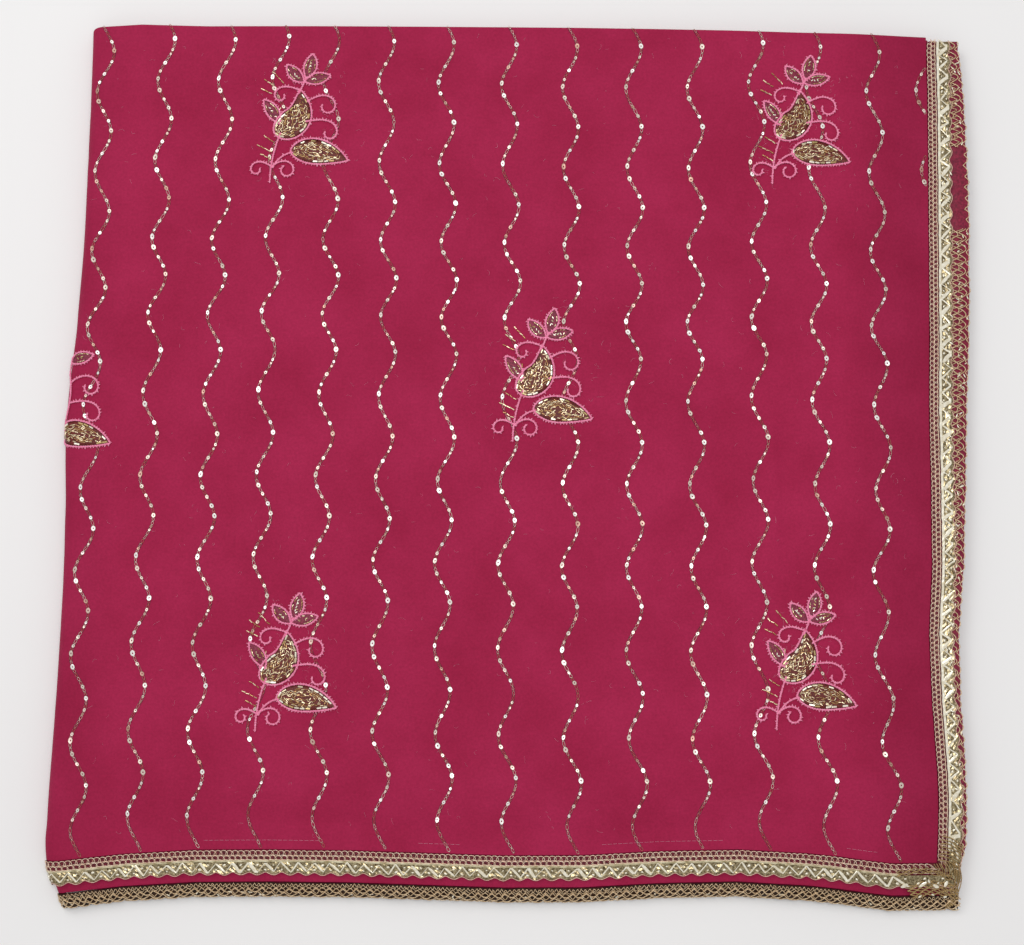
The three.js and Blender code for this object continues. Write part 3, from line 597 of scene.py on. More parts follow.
def sewn_tree():
    """A small shape sewn on at every point, by its stored turn and size, with a random tilt."""
    tree, given = new_tree(
        "Sewn on at points",
        [
            ("Points", "Geometry"),
            ("Shape", "Object"),
            ("Tilt", "Float"),
            ("Spin", "Float"),
            ("Smallest", "Float"),
            ("Largest", "Float"),
            ("Seed", "Int"),
            ("Material", "Material"),
        ],
    )
    shape = add(tree, "GeometryNodeObjectInfo", {"Object": given["Shape"]})
    turn = add(tree, "GeometryNodeInputNamedAttribute", {"Name": "turn"}, data_type="FLOAT_VECTOR")
    lies = add(tree, "FunctionNodeEulerToRotation", {"Euler": turn.outputs["Attribute"]})
    minus = [
        add(tree, "ShaderNodeMath", {0: given[label], 1: -1.0}, operation="MULTIPLY").outputs[0]
        for label in ("Tilt", "Spin")
    ]
    least = add(tree, "ShaderNodeCombineXYZ", {"X": minus[0], "Y": minus[0], "Z": minus[1]})
    most = add(
        tree, "ShaderNodeCombineXYZ", {"X": given["Tilt"], "Y": given["Tilt"], "Z": given["Spin"]}
    )
    tilt = add(
        tree,
        "FunctionNodeRandomValue",
        {0: least.outputs[0], 1: most.outputs[0], "Seed": given["Seed"]},
        data_type="FLOAT_VECTOR",
    )
    tilted = add(tree, "FunctionNodeEulerToRotation", {"Euler": tilt.outputs[0]})
    rotation = add(
        tree,
        "FunctionNodeRotateRotation",
        {"Rotation": lies.outputs[0], "Rotate By": tilted.outputs[0]},
        rotation_space="LOCAL",
    )
    size = add(tree, "GeometryNodeInputNamedAttribute", {"Name": "size"}, data_type="FLOAT_VECTOR")
    factor = add(
        tree,
        "FunctionNodeRandomValue",
        {2: given["Smallest"], 3: given["Largest"], "Seed": given["Seed"]},
        data_type="FLOAT",
    )
    scale = add(
        tree,
        "ShaderNodeVectorMath",
        {0: size.outputs["Attribute"], "Scale": factor.outputs[1]},
        operation="SCALE",
    )
    sewn = add(
        tree,
        "GeometryNodeInstanceOnPoints",
        {
            "Points": given["Points"],
            "Instance": shape.outputs["Geometry"],
            "Rotation": rotation.outputs[0],
            "Scale": scale.outputs[0],
        },
    )
    seed = add(tree, "ShaderNodeMath", {0: given["Seed"], 1: 1.0}, operation="ADD")
    tone = add(tree, "FunctionNodeRandomValue", {2: 0.0, 3: 1.0, "Seed": seed.outputs[0]})
    toned = add(
        tree,
        "GeometryNodeStoreNamedAttribute",
        {"Geometry": sewn.outputs["Instances"], "Name": "tone", "Value": tone.outputs[1]},
        data_type="FLOAT",
        domain="INSTANCE",
    )
    whole = add(tree, "GeometryNodeRealizeInstances", {"Geometry": toned.outputs["Geometry"]})
    dressed = add(
        tree,
        "GeometryNodeSetMaterial",
        {"Geometry": whole.outputs["Geometry"], "Material": given["Material"]},
    )
    add(tree, "NodeGroupOutput", {"Geometry": dressed.outputs["Geometry"]})
    return tree


def grown(name, mesh, tree, values):
    """Runs a node tree on a mesh and gives the result as a plain mesh object."""
    seedbed = bpy.data.objects.new(name + "_seedbed", mesh)
    bpy.context.scene.collection.objects.link(seedbed)
    modifier = seedbed.modifiers.new("nodes", "NODES")
    modifier.node_group = tree
    for item in tree.interface.items_tree:
        if item.item_type == "SOCKET" and item.in_out == "INPUT" and item.name in values:
            modifier[item.identifier] = values[item.name]
    depsgraph = bpy.context.evaluated_depsgraph_get()
    result = bpy.data.meshes.new_from_object(
        seedbed.evaluated_get(depsgraph), preserve_all_data_layers=True, depsgraph=depsgraph
    )
    bpy.data.objects.remove(seedbed)
    result.name = name
    made = bpy.data.objects.new(name, result)
    bpy.context.scene.collection.objects.link(made)
    if not len(result.polygons):
        raise RuntimeError(f"{name}: the nodes made no faces")
    return made


def tree_named(name, maker):
    return bpy.data.node_groups.get(name) or maker()


def cords(name, lines, material, sides=4, smooth=True):
    """Cords along lines, a list of (points in mm, radius in mm), as one object."""
    points, edges, thick = [], [], []
    count = 0
    for line, radius in lines:
        points.append(line)
        edges.append(np.stack([np.arange(len(line) - 1), np.arange(1, len(line))], -1) + count)
        thick.append(np.broadcast_to(radius, len(line)))
        count += len(line)
    mesh = bpy.data.meshes.new(name)
    mesh.from_pydata(to_frame(np.concatenate(points)).tolist(), np.concatenate(edges).tolist(), [])
    layer = mesh.attributes.new("thick", "FLOAT", "POINT")
    layer.data.foreach_set("value", (np.concatenate(thick) / 1000).astype(np.float32))
    tree = tree_named("Cord along a line", cord_tree)
    made = grown(name, mesh, tree, {"Sides": sides, "Material": material})
    made.data.polygons.foreach_set("use_smooth", [smooth] * len(made.data.polygons))
    return made


def sewn(name, points, turns, sizes, shape, material, seed, tilt=0.0, spin=0.0, vary=0.0):
    """Copies of a small shape at points in mm, with sizes in mm, as one object."""
    mesh = bpy.data.meshes.new(name)
    mesh.from_pydata(to_frame(points).tolist(), [], [])
    sizes = np.broadcast_to(sizes, np.shape(points))
    for label, values in (("turn", turns), ("size", np.asarray(sizes) / 1000)):
        layer = mesh.attributes.new(label, "FLOAT_VECTOR", "POINT")
        layer.data.foreach_set("vector", np.asarray(values, np.float32).ravel())
    tree = tree_named("Sewn on at points", sewn_tree)
    pattern = shape(name + "_pattern")
    values = {
        "Shape": pattern,
        "Tilt": math.radians(tilt),
        "Spin": math.radians(spin),
        "Smallest": 1.0 - vary,
        "Largest": 1.0 + vary,
        "Seed": seed,
        "Material": material,
    }
    made = grown(name, mesh, tree, values)
    bpy.data.objects.remove(pattern)
    return made


def joined(name, pieces):
    """Several pieces as one mesh. Each has the same attributes and one material."""
    with bpy.context.temp_override(
        active_object=pieces[0], selected_editable_objects=pieces, object=pieces[0]
    ):
        bpy.ops.object.join()
    pieces[0].name = name
    pieces[0].data.name = name
    return pieces[0]


# -------------------------------------------------------------- small shapes, one unit across


def ring_shape(name, profile, around, stretch=1.0, smooth=True):
    """A closed ring whose section is profile, (radius, height) points, anticlockwise."""
    angles = np.arange(around) * 2 * math.pi / around
    points = [
        (radius * math.cos(t) * stretch, radius * math.sin(t), height)
        for t in angles
        for radius, height in profile
    ]
    count = len(profile)
    faces = []
    for i in range(around):
        here, there = i * count, (i + 1) % around * count
        for k in range(count):
            after = (k + 1) % count
            faces.append((here + k, there + k, there + after, here + after))
    made = mesh_piece(name, points, faces)
    made.data.polygons.foreach_set("use_smooth", [smooth] * len(faces))
    return made


def sequin_shape(name):
    """A nearly flat disc with a hole, one unit across."""
    profile = [(0.13, 0.03), (0.15, 0.07), (0.44, 0.085), (0.5, 0.05), (0.4, 0.0)]
    return ring_shape(name, profile[::-1], 10, smooth=False)


def link_shape(name):
    """One chain stitch: a long loop of thin thread, one unit long."""
    profile = [(0.5, 0.0), (0.43, 0.06), (0.36, 0.0)]
    return ring_shape(name, profile, 8)


def turned_shape(name, profile, sides, smooth=True):
    """A solid of revolution about X: profile has (x, radius), with a point at each end."""
    angles = np.arange(sides) * 2 * math.pi / sides
    points = [(profile[0][0], 0.0, 0.0)]
    for x, radius in profile[1:-1]:
        points += [(x, radius * math.cos(t), radius * math.sin(t)) for t in angles]
    points.append((profile[-1][0], 0.0, 0.0))
    faces = []
    last = len(points) - 1
    rings = len(profile) - 2
    for k in range(sides):
        after = (k + 1) % sides
        faces.append((0, 1 + after, 1 + k))
        for ring in range(rings - 1):
            here, there = 1 + ring * sides, 1 + (ring + 1) * sides
            faces.append((here + k, here + after, there + after, there + k))
        faces.append((last, 1 + (rings - 1) * sides + k, 1 + (rings - 1) * sides + after))
    made = mesh_piece(name, points, faces)
    made.data.polygons.foreach_set("use_smooth", [smooth] * len(faces))
    return made


def bugle_shape(name):
    """A short cut glass tube along X."""
    profile = [(-0.5, 0), (-0.5, 0.36), (-0.4, 0.5), (0.4, 0.5), (0.5, 0.36), (0.5, 0)]
    return turned_shape(name, profile, 6, smooth=False)


def grain_shape(name):
    """A full stitch of soft thread along X, like a grain of rice."""
    return turned_shape(name, [(-0.6, 0), (-0.42, 0.3), (0, 0.5), (0.42, 0.3), (0.6, 0)], 6)


def thorn_shape(name):
    """A picot: a short pointed stitch that stands out from a cord."""
    return turned_shape(name, [(-0.2, 0), (0.0, 0.5), (0.55, 0.3), (1.0, 0)], 4)


# --------------------------------------------------------------------------------- materials


def new_material(name):
    made = bpy.data.materials.new(name)
    made.use_nodes = True
    tree = made.node_tree
    shader = tree.nodes["Principled BSDF"]
    return made, tree, shader


def put(tree, shader, **links):
    """Links outputs to the shader's sockets, or sets them."""
    for label, value in links.items():
        socket = shader.inputs[label.replace("_", " ")]
        if isinstance(value, bpy.types.NodeSocket):
            tree.links.new(value, socket)
        else:
            socket.default_value = value


def colour_ramp(tree, factor, stops):
    ramp = add(tree, "ShaderNodeValToRGB", {"Fac": factor})
    elements = ramp.color_ramp.elements
    while len(elements) < len(stops):
        elements.new(0.5)
    for element, (place, colour) in zip(elements, stops):
        element.position = place
        element.color = linear(colour) if isinstance(colour, str) else (*colour, 1.0)
    return ramp.outputs["Color"]


def crushed_georgette(colours):
    """Polyester georgette: crimped yarns give a matt face with a faint sheen at low angles, fine
    crepe grain, patches where the dye looks a little lighter or deeper, and painted shade that
    darkens the colour towards the right end and along the left fold."""
    material, tree, shader = new_material("Crushed georgette, rose")
    place = add(tree, "ShaderNodeUVMap", uv_map="cloth").outputs["UV"]
    noises = [
        add(
            tree,
            "ShaderNodeTexNoise",
            {"Vector": place, "Scale": 1 / size, "Detail": detail, "Roughness": 0.6},
        ).outputs["Fac"]
        # Real yarns are 0.2 mm apart, too fine to show, so the crepe grain is drawn at 0.9 mm and
        # its changes of tone at 1.7 mm
        for size, detail in ((0.060, 4.0), (0.0045, 2.0), (0.0009, 1.0), (0.0017, 1.0))
    ]
    base = colour_ramp(tree, noises[0], [(0.34, tuple(colours.deep)), (0.64, tuple(colours.light))])
    across = add(tree, "ShaderNodeSeparateXYZ", {"Vector": place}).outputs[0]
    # Painted shade: the colour is darker towards the right end, where the cloth slopes down to the lace,
    # and along the left fold
    right = add(tree, "ShaderNodeMapRange", {"Value": across, 1: 0.215, 2: 0.262, 3: 1.0, 4: 0.86})
    left = add(tree, "ShaderNodeMapRange", {"Value": across, 1: -0.255, 2: -0.287, 3: 1.0, 4: 0.93})
    fleck = add(tree, "ShaderNodeMapRange", {"Value": noises[1], 3: 0.94, 4: 1.06})
    grain = add(tree, "ShaderNodeMapRange", {"Value": noises[3], 3: 0.83, 4: 1.17})
    value = fleck.outputs[0]
    for factor in (right, left, grain):
        product = add(tree, "ShaderNodeMath", {0: value, 1: factor.outputs[0]}, operation="MULTIPLY")
        value = product.outputs[0]
    mottled = add(tree, "ShaderNodeHueSaturation", {"Color": base, "Value": value})
    fine = add(
        tree, "ShaderNodeBump", {"Height": noises[2], "Strength": 0.35, "Distance": 0.00025}
    )
    broad = add(
        tree,
        "ShaderNodeBump",
        {"Height": noises[1], "Strength": 0.35, "Distance": 0.0006, "Normal": fine.outputs[0]},
    )
    put(
        tree,
        shader,
        Base_Color=mottled.outputs["Color"],
        Roughness=0.75,
        Normal=broad.outputs[0],
        Sheen_Weight=0.08,
        Sheen_Roughness=0.4,
        Sheen_Tint=linear("#f2a9bf"),
        Specular_IOR_Level=0.1,
    )
    return material


def metallic(name, low, high, roughness, grit, depth, tone=False, metal=1.0):
    """A gilt surface with small changes of tone, and fine bumps grit metres apart. Metal is below 1
    where lacquered film is wound on a matt core. Real film is wound 0.1 mm apart, too fine to show,
    so grit is coarser."""
    material, tree, shader = new_material(name)
    place = add(tree, "ShaderNodeTexCoord").outputs["Object"]
    noise = add(
        tree, "ShaderNodeTexNoise", {"Vector": place, "Scale": 1 / grit, "Detail": 2.0}
    )
    factor = noise.outputs["Fac"]
    if tone:
        factor = add(
            tree, "ShaderNodeAttribute", attribute_type="GEOMETRY", attribute_name="tone"
        ).outputs["Fac"]
    bump = add(
        tree, "ShaderNodeBump", {"Height": noise.outputs["Fac"], "Strength": 0.5, "Distance": depth}
    )
    put(
        tree,
        shader,
        Base_Color=colour_ramp(tree, factor, [(0.3, low), (0.7, high)]),
        Metallic=metal,
        Roughness=roughness,
        Normal=bump.outputs[0],
    )
    return material


def thread_material(name, low, high, pitch, sheen=0.4):
    """Stranded thread: a satin body with plies and a little fuzz. Real plies are 0.1 to 0.2 mm
    apart, too fine to show, so pitch, in metres, is coarser."""
    material, tree, shader = new_material(name)
    place = add(tree, "ShaderNodeTexCoord").outputs["Object"]
    noise = add(
        tree, "ShaderNodeTexNoise", {"Vector": place, "Scale": 1 / pitch, "Detail": 2.0}
    )
    bump = add(
        tree,
        "ShaderNodeBump",
        {"Height": noise.outputs["Fac"], "Strength": 0.6, "Distance": 0.0002},
    )
    put(
        tree,
        shader,
        Base_Color=colour_ramp(tree, noise.outputs["Fac"], [(0.3, low), (0.7, high)]),
        Roughness=0.5,
        Normal=bump.outputs[0],
    )
    shader.inputs["Sheen Weight"].default_value = sheen
    shader.inputs["Sheen Tint"].default_value = linear("#ffd0e0")
    shader.inputs["Specular IOR Level"].default_value = 0.3
    return material


# ------------------------------------------------------------------------------- the settings


class ClothSettings(bpy.types.PropertyGroup):
    deep: FloatVectorProperty(
        name="Deep", description="Colour of the deeper patches of the cloth", subtype="COLOR",
        default=linear("#991d42")[:3], min=0, max=1,
    )
    light: FloatVectorProperty(
        name="Light", description="Colour of the lighter patches of the cloth", subtype="COLOR",
        default=linear("#a5244c")[:3], min=0, max=1,
    )


class StageSettings(bpy.types.PropertyGroup):
    lens: FloatProperty(name="Lens", description="Focal length", default=60.0, min=20, max=200)
    softbox: FloatProperty(
        name="Softbox", description="Power of the softbox overhead, in watts", default=9.0, min=0
    )
    key: FloatProperty(
        name="Key", description="Power of the soft key light at the upper left, in watts",
        default=7.0, min=0,
    )
    ambient: FloatProperty(
        name="Ambient", description="Strength of the light from all round", default=0.53, min=0
    )
    floor: FloatVectorProperty(
        name="Floor",
        description="Colour of the paper floor",
        subtype="COLOR",
        default=linear("#f2f1f1")[:3],
        min=0,
        max=1,
    )


class SequinSettings(bpy.types.PropertyGroup):
    scale: FloatProperty(
        name="Scale", description="Size of the sequins over their usual size", default=1.0, min=0.5
    )
    link_length: FloatProperty(
        name="Link length", description="Length of a chain link", default=0.0034, min=0.001, unit="LENGTH"
    )
    link_width: FloatProperty(
        name="Link width", description="Width of a chain link", default=0.0016, min=0.0005, unit="LENGTH"
    )
    sway: FloatProperty(
        name="Sway", description="How far a line sways to each side", default=0.0051, min=0, unit="LENGTH"
    )


class LaceSettings(bpy.types.PropertyGroup):
    thread: FloatProperty(
        name="Thread", description="Radius of the crochet thread", default=0.00028, unit="LENGTH"
    )
    sides: IntProperty(name="Sides", description="Sides of a lace cord", default=4, min=3, max=8)


class MotifSettings(bpy.types.PropertyGroup):
    stitch: FloatProperty(
        name="Stitch", description="Length of a chain stitch", default=0.0022, unit="LENGTH"
    )
    cord: FloatProperty(
        name="Cord", description="Width of a chain-stitched line", default=0.0015, unit="LENGTH"
    )
    bead: FloatProperty(
        name="Bead", description="Length of a bugle bead", default=0.0032, unit="LENGTH"
    )


class PieceOperator(bpy.types.Operator):
    """What all the operators share"""

    bl_options = {"REGISTER", "UNDO"}


# ------------------------------------------------------------------------------------- cloth

FACE_ROWS, FACE_ROLL_ROWS, FACE_COLUMNS, NOSE_COLUMNS = 198, 9, 216, 24
BACK_ROWS, BACK_COLUMNS, BACK_NOSE_COLUMNS = 25, 180, 15
UNDER_EVERY = 3  # the hidden side has a point for every third one on top


def cloth_grid(lines, end_of, nose_columns, flat_columns):
    """(a, b) places on a grid, a row for each line across, evenly spaced from the nose to the end."""
    rows = []
    for line in lines:
        y = float(line(np.array(NOSE_X)))
        start, end = float(nose_start(y)), end_of(line)
        round_nose = np.linspace(float(nose_end(y)), start, nose_columns, endpoint=False)
        a = np.concatenate([round_nose, np.linspace(start, end, flat_columns + 1)])
        rows.append(np.stack([a, line(a)], -1))
    return np.array(rows)


class SAREE_OT_face_cloth(PieceOperator):
    """The top layer of georgette, with the round nose on the left and the far fold"""

    bl_idname = "saree.face_cloth"
    bl_label = "Face cloth"

    def execute(self, context):
        lines = [
            lambda a, v=v: lerp(hem_line(a) + SEAM / 2, fold_line(a), v)
            for v in np.linspace(0, 1, FACE_ROWS + 1)
        ]
        lines += [
            lambda a, i=i: fold_line(a) + i / FACE_ROLL_ROWS * math.pi * ROLL
            for i in range(1, FACE_ROLL_ROWS + 1)
        ]

        def end_of(line):
            return float(end_edge(min(float(line(end_edge(0))), END_EDGE[-1][0]))) - SEAM / 2

        grid = cloth_grid(lines, end_of, NOSE_COLUMNS, FACE_COLUMNS)
        few = grid[::UNDER_EVERY, ::UNDER_EVERY]
        points, faces, uv = shell(
            face_at(grid[..., 0], grid[..., 1]),
            face_at(few[..., 0], few[..., 1], -CLOTH),
            grid / 1000,
        )
        made = mesh_piece(
            "face_georgette", to_frame(points), faces, georgette(), uv, math.radians(60)
        )
        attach(made, "root")
        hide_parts("face_cloth")
        return {"FINISHED"}


def georgette():
    made = bpy.data.materials.get("Crushed georgette, rose")
    return made or crushed_georgette(bpy.context.scene.saree_cloth)


class SAREE_OT_back_cloth(PieceOperator):
    """The other half of the folded width, whose near edge shows past the face lace"""

    bl_idname = "saree.back_cloth"
    bl_label = "Back cloth"

    def execute(self, context):
        edge = LACE_WIDTH + BACK_HEM_SEAM - SEAM / 2
        near = np.concatenate([np.linspace(edge, LACE_WIDTH, 7), np.linspace(LACE_WIDTH, 0, 6)[1:]])
        lines = [lambda a, out=out: hem_line(a) - out for out in near]
        lines += [
            lambda a, v=v: lerp(hem_line(a), fold_line(a) - SEAM, v)
            for v in np.linspace(0, 1, BACK_ROWS + 1)[1:]
        ]

        def end_of(line):
            y = float(line(end_edge(0)))
            return float(end_edge(y) + back_end_out(y)) - SEAM / 2

        grid = cloth_grid(lines, end_of, BACK_NOSE_COLUMNS, BACK_COLUMNS)
        a, b = grid[..., 0], grid[..., 1]
        points, faces, uv = shell(back_at(a, b), back_at(a, b, -CLOTH), grid / 1000)
        made = mesh_piece(
            "back_georgette", to_frame(points), faces, georgette(), uv, math.radians(60)
        )
        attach(made, "root")
        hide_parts("back_cloth")
        return {"FINISHED"}


def fold_edge(share, side, wander):
    """How far the layers' edges stand out, share from 0 at the pile's skin to 1 at its middle."""
    at = np.clip(share, 0, 1) * len(FOLDS)
    fold = np.minimum(len(FOLDS) - 1, np.floor(at)).astype(int)
    reach = np.array([row[side] for row in FOLDS])[fold]
    round_edge = np.sqrt(np.maximum(0, 1 - (2 * (at - fold) - 1) ** 2))
    middle_groove = 0.35 * np.exp(-(((at - fold) - 0.5) / 0.10) ** 2)
    uneven = 0.7 * soft_noise(wander, fold * 37.0, 34.0, 21) + 0.3 * soft_noise(
        wander, fold * 37.0, 9.0, 22
    )
    return round_edge * (reach * (1 + 0.35 * uneven) + 0.3 * uneven) - middle_groove


def layers_section(y, columns):
    """The inner layers' outline along x at y, and the middle place that each point closes in on."""
    start, radius = float(nose_start(y)), float(nose_radius(y))
    inner = radius - CORE_DEPTH - 3 * SEAM
    under = start + 4 * SEAM
    end = float(end_edge(y)) + CORE_END_OUT
    flat_x = np.linspace(end, X_STATIONS[0], columns)
    top_z = face_height(flat_x, y) - CORE_DEPTH
    turn = np.linspace(0, math.pi, 17)
    nose_x = start - inner * np.sin(turn)
    nose_z = radius + inner * np.cos(turn)
    nose_z[0] = float(face_height(start, y)) - CORE_DEPTH
    x = np.concatenate([flat_x, nose_x, [under, under], flat_x[::-1]])
    z = np.concatenate([top_z, nose_z, [CORE_DEPTH + SEAM, 0.0], 0 * flat_x])
    nose_count = len(turn) + 2
    mid_x = np.concatenate([flat_x, np.full(nose_count, start), flat_x[::-1]])
    mid_z = np.concatenate([top_z / 2, np.full(nose_count, radius), top_z[::-1] / 2])
    on_nose = np.concatenate([0 * flat_x, np.ones(nose_count), 0 * flat_x])
    return x, z, mid_x, mid_z, on_nose


class SAREE_OT_inner_layers(PieceOperator):
    """The hidden turns of the saree, whose folded edges show at the sides of the pile"""

    bl_idname = "saree.inner_layers"
    bl_label = "Inner layers"

    def execute(self, context):
        columns, rows = 110, 60
        levels = len(FOLDS) * FOLD_POINTS
        far_rows = [
            lambda a, v=v: lerp(hem_line(a) - CORE_NEAR_OUT, fold_line(a) - CORE_INSET, v)
            for v in np.linspace(0, 1, rows)
        ]
        points, faces = [], []

        def ring(row, level):
            share = level / levels
            line = far_rows[row]
            x, z, mid_x, mid_z, on_nose = layers_section(float(line(np.array(0.0))), columns)
            place_x = lerp(x, mid_x, share)
            y = line(place_x)
            near, far = row == 0, row == rows - 1
            lean = np.where(on_nose > 0, 0.3, 1.0)
            if near:
                y = y - fold_edge(share, "near", place_x) - CORE_NEAR_LEAN * lean * share**0.75
            if far:
                y = y + fold_edge(share, "far", place_x)
            ends = np.zeros(len(x))
            ends[[0, -1]] = 1.0
            place_x = place_x + ends * fold_edge(share, "end", y)
            middle = np.where(on_nose > 0, mid_z, CORE_NEAR_HEIGHT if near else mid_z)
            place_z = lerp(z, middle, share)
            if near:
                roof = back_at(place_x, y, -CLOTH)[..., 2] - SEAM
                place_z = np.where(on_nose > 0, place_z, np.minimum(place_z, roof))
            first = sum(len(part) for part in points)
            points.append(stack(place_x, y, np.maximum(place_z, 0.0)))
            return first + np.arange(len(x))

        def end_pair(row, level):
            """The top and the floor point of a row at the right end."""
            share = level / levels
            y = float(far_rows[row](np.array(CORE_END_X)))
            x, z, mid_x, mid_z, _ = layers_section(y, columns)
            out = float(fold_edge(np.array(share), "end", np.array(y)))
            pair = [
                (lerp(x[k], mid_x[k], share) + out, y, lerp(z[k], mid_z[k], share))
                for k in (0, -1)
            ]
            first = sum(len(part) for part in points)
            points.append(np.array(pair))
            return [first, first + 1]

        def band(from_ring, to_ring):
            faces.extend(
                np.stack([to_ring[:-1], to_ring[1:], from_ring[1:], from_ring[:-1]], -1).tolist()
            )

        skin = [ring(row, 0) for row in range(rows)]
        for row in range(rows - 1):
            band(skin[row], skin[row + 1])
        near_cap, far_cap = [skin[0]], [skin[-1]]
        for level in range(1, levels + 1):
            near_cap.append(ring(0, level))
            far_cap.append(ring(rows - 1, level))
            band(near_cap[level], near_cap[level - 1])
            band(far_cap[level - 1], far_cap[level])
        # The right end closes with a line of points for each row, down to the middle and the floor
        lines = []
        for row in range(rows):
            if row == 0:
                rings = near_cap
            elif row == rows - 1:
                rings = far_cap
            else:
                rings = [skin[row], *(end_pair(row, level) for level in range(1, levels + 1))]
            down = [r[0] for r in rings]
            up = [r[-1] for r in rings[:-1]]
            lines.append(down + up[::-1])
        for one, two in zip(lines[:-1], lines[1:]):
            for k in range(len(one) - 1):
                faces.append([one[k], one[k + 1], two[k + 1], two[k]])
        all_points = np.concatenate(points)
        uv = all_points[:, :2] + all_points[:, 2:] * 0.7
        made = mesh_piece(
            "inner_turns", to_frame(all_points), faces, georgette(), uv / 1000
        )
        tidy(made)
        made.data.set_sharp_from_angle(angle=math.radians(50))
        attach(made, "root")
        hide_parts("inner_layers")
        return {"FINISHED"}


def tidy(made):
    """Merges doubled points and turns the faces outwards."""
    work = bmesh.new()
    work.from_mesh(made.data)
    bmesh.ops.remove_doubles(work, verts=work.verts, dist=2e-6)
    bmesh.ops.recalc_face_normals(work, faces=work.faces)
    work.to_mesh(made.data)
    work.free()


# -------------------------------------------------------------------------------------- lace


def face_hem_place():
    y = float(hem_line(NOSE_X))
    start = lerp(float(nose_end(y)), NOSE_X, 0.05)
    length = END_EDGE[0][1] - SEAM - start

    def place(along, out, lift):
        a = start + along + out * ease(1 - (length - along) / CORNER)
        return face_at(a, hem_line(a) - SEAM / 2 - out, lift)

    return place, length


def face_end_place():
    start = float(hem_line(END_EDGE[0][1])) + SEAM
    length = float(fold_line(END_EDGE[-1][0])) - start

    def place(along, out, lift):
        b = start + along - out * ease(1 - along / CORNER)
        return face_at(end_edge(b) + SEAM / 2 + out, b, lift)

    return place, length


def back_hem_place():
    y = float(hem_line(NOSE_X)) - LACE_WIDTH
    start = lerp(float(nose_end(y)), NOSE_X, 0.1)
    length = END_EDGE[0][1] + LACE_WIDTH - start
    reach = BACK_HEM_PROFILE[-1][0] - BACK_HEM_SEAM

    def place(along, out, lift):
        a = start + along
        past = BACK_HEM_SEAM + SEAM / 2 + (out / LACE_WIDTH) * reach
        return back_at(a, hem_line(a) - LACE_WIDTH - past, lift)

    return place, length


def back_end_place():
    start = float(hem_line(HEM_EDGE[-1][0])) - LACE_WIDTH - BACK_HEM_SEAM + 4 * SEAM
    length = float(fold_line(END_EDGE[-1][0])) - 1 - start

    def place(along, out, lift):
        b = start + along
        past = back_end_out(b)
        sink = END_LACE_SINK * ease((out - LACE_WIDTH + past) / LACE_WIDTH)
        # Drawn in at the near corner, and puffed out towards the far fold
        puff = END_PUFF * ease((b - END_PUFF_FROM) / END_PUFF_LENGTH)
        puff = puff - END_DRAWN_IN * ease(1 - along / END_DRAWN_LENGTH)
        a = end_edge(b) + past + SEAM / 2 + out + puff * out / LACE_WIDTH
        return face_at(a, b, lift - BACK_DEPTH - sink)

    return place, length


def lower_hem_place():
    length = END_EDGE[0][1] + LOWER_LACE_WIDTH - LOWER_LACE_X
    hidden = LACE_WIDTH - LOWER_LACE_WIDTH  # only the lace's outer part shows

    def place(along, out, lift):
        a = LOWER_LACE_X + along
        y = hem_line(a) - LACE_WIDTH - LOWER_LACE_OUT + LOWER_LACE_WIDTH - (out - hidden)
        return stack(a, y, CLOTH + np.maximum(lift, -CLOTH + 0.35))

    return place, length


# One row for each lace: where it lies, how uneven it is, its rows of loops (middle and radius
# across, phase), their pitch, its foil line and the half-widths of its zigzag's bars by turns.
# A worn one is crushed under the pile's edge, and of the lowest only the part past "from" shows.
# "trim" is how far its line and zigzag stop short of each end, "glints" how many near-white bits of
# foil, painted glints, lie in it, and over "bare" its cords are gone but for the edge.
LACES = [
    {
        "node": "face_hem_lace", "place": face_hem_place, "wild": 0.20, "seed": 31, "worn": False,
        "loops": [(1.85, 1.6, 0.0), (4.9, 1.3, 0.5)], "pitch": 3.7, "line": (6.5, 7.6),
        "bars": (1.0, 0.5), "trim": (0.0, 27.0), "from": 0.0, "glints": 0,
    },
    {
        "node": "face_end_lace", "place": face_end_place, "wild": 0.34, "seed": 32, "worn": False,
        "loops": [(1.45, 1.25, 0.0), (4.2, 1.25, 0.5)], "pitch": 3.2, "line": (6.6, 8.2),
        "bars": (1.45, 0.7), "trim": (13.5, 0.0), "from": 0.0, "glints": 60,
    },
    {
        "node": "back_hem_lace", "place": back_hem_place, "wild": 0.9, "seed": 33, "worn": True,
        "pitch": 8.7, "from": 0.0, "glints": 40,
    },
    {
        "node": "back_end_lace", "place": back_end_place, "wild": 0.8, "seed": 34, "worn": True,
        "pitch": 7.4, "from": 0.0, "glints": 110, "bare": (437, 492),
    },
    {
        "node": "lower_hem_lace", "place": lower_hem_place, "wild": 0.3, "seed": 35, "worn": True,
        "pitch": 8.7, "from": 8.6, "glints": 20,
    },
]
FOIL_BAND = (7.6, 13.9)
FOIL_SCALLOP = 1.7
ZIGZAG = (8.0, 14.2)
SCALLOP_MIDDLE, SCALLOP_RISE, SCALLOP_RADIUS = 14.2, 1.85, 0.32
# Strands gathered at the near right corner: ends of the first strand, ends of the last, how many,
# radius and lift
GATHERS = [
    (((277, -235), (291, -242)), ((274, -250), (287, -254.5)), 8, 0.5, 1.3),
    (((271, -252.5), (274, -260)), ((284, -251), (286, -260)), 9, 0.42, 1.2),
    (((247, -257.6), (283.5, -260.4)), ((247, -260), (283.5, -263)), 4, 0.42, 1.2),
    (((253, -267.8), (287.5, -266.5)), ((258, -274.6), (287.5, -275.2)), 10, 0.6, 0.3),
    (((283.6, -252), (284, -270)), ((287.6, -252), (287.6, -270.5)), 4, 0.42, 0.7),
    (((287.6, -266), (285.5, -279.5)), ((282.5, -267), (279.5, -281)), 6, 0.45, -2.6),
    (((286, -262), (284, -277)), ((281, -266), (277, -279)), 5, 0.45, -5.2),
]
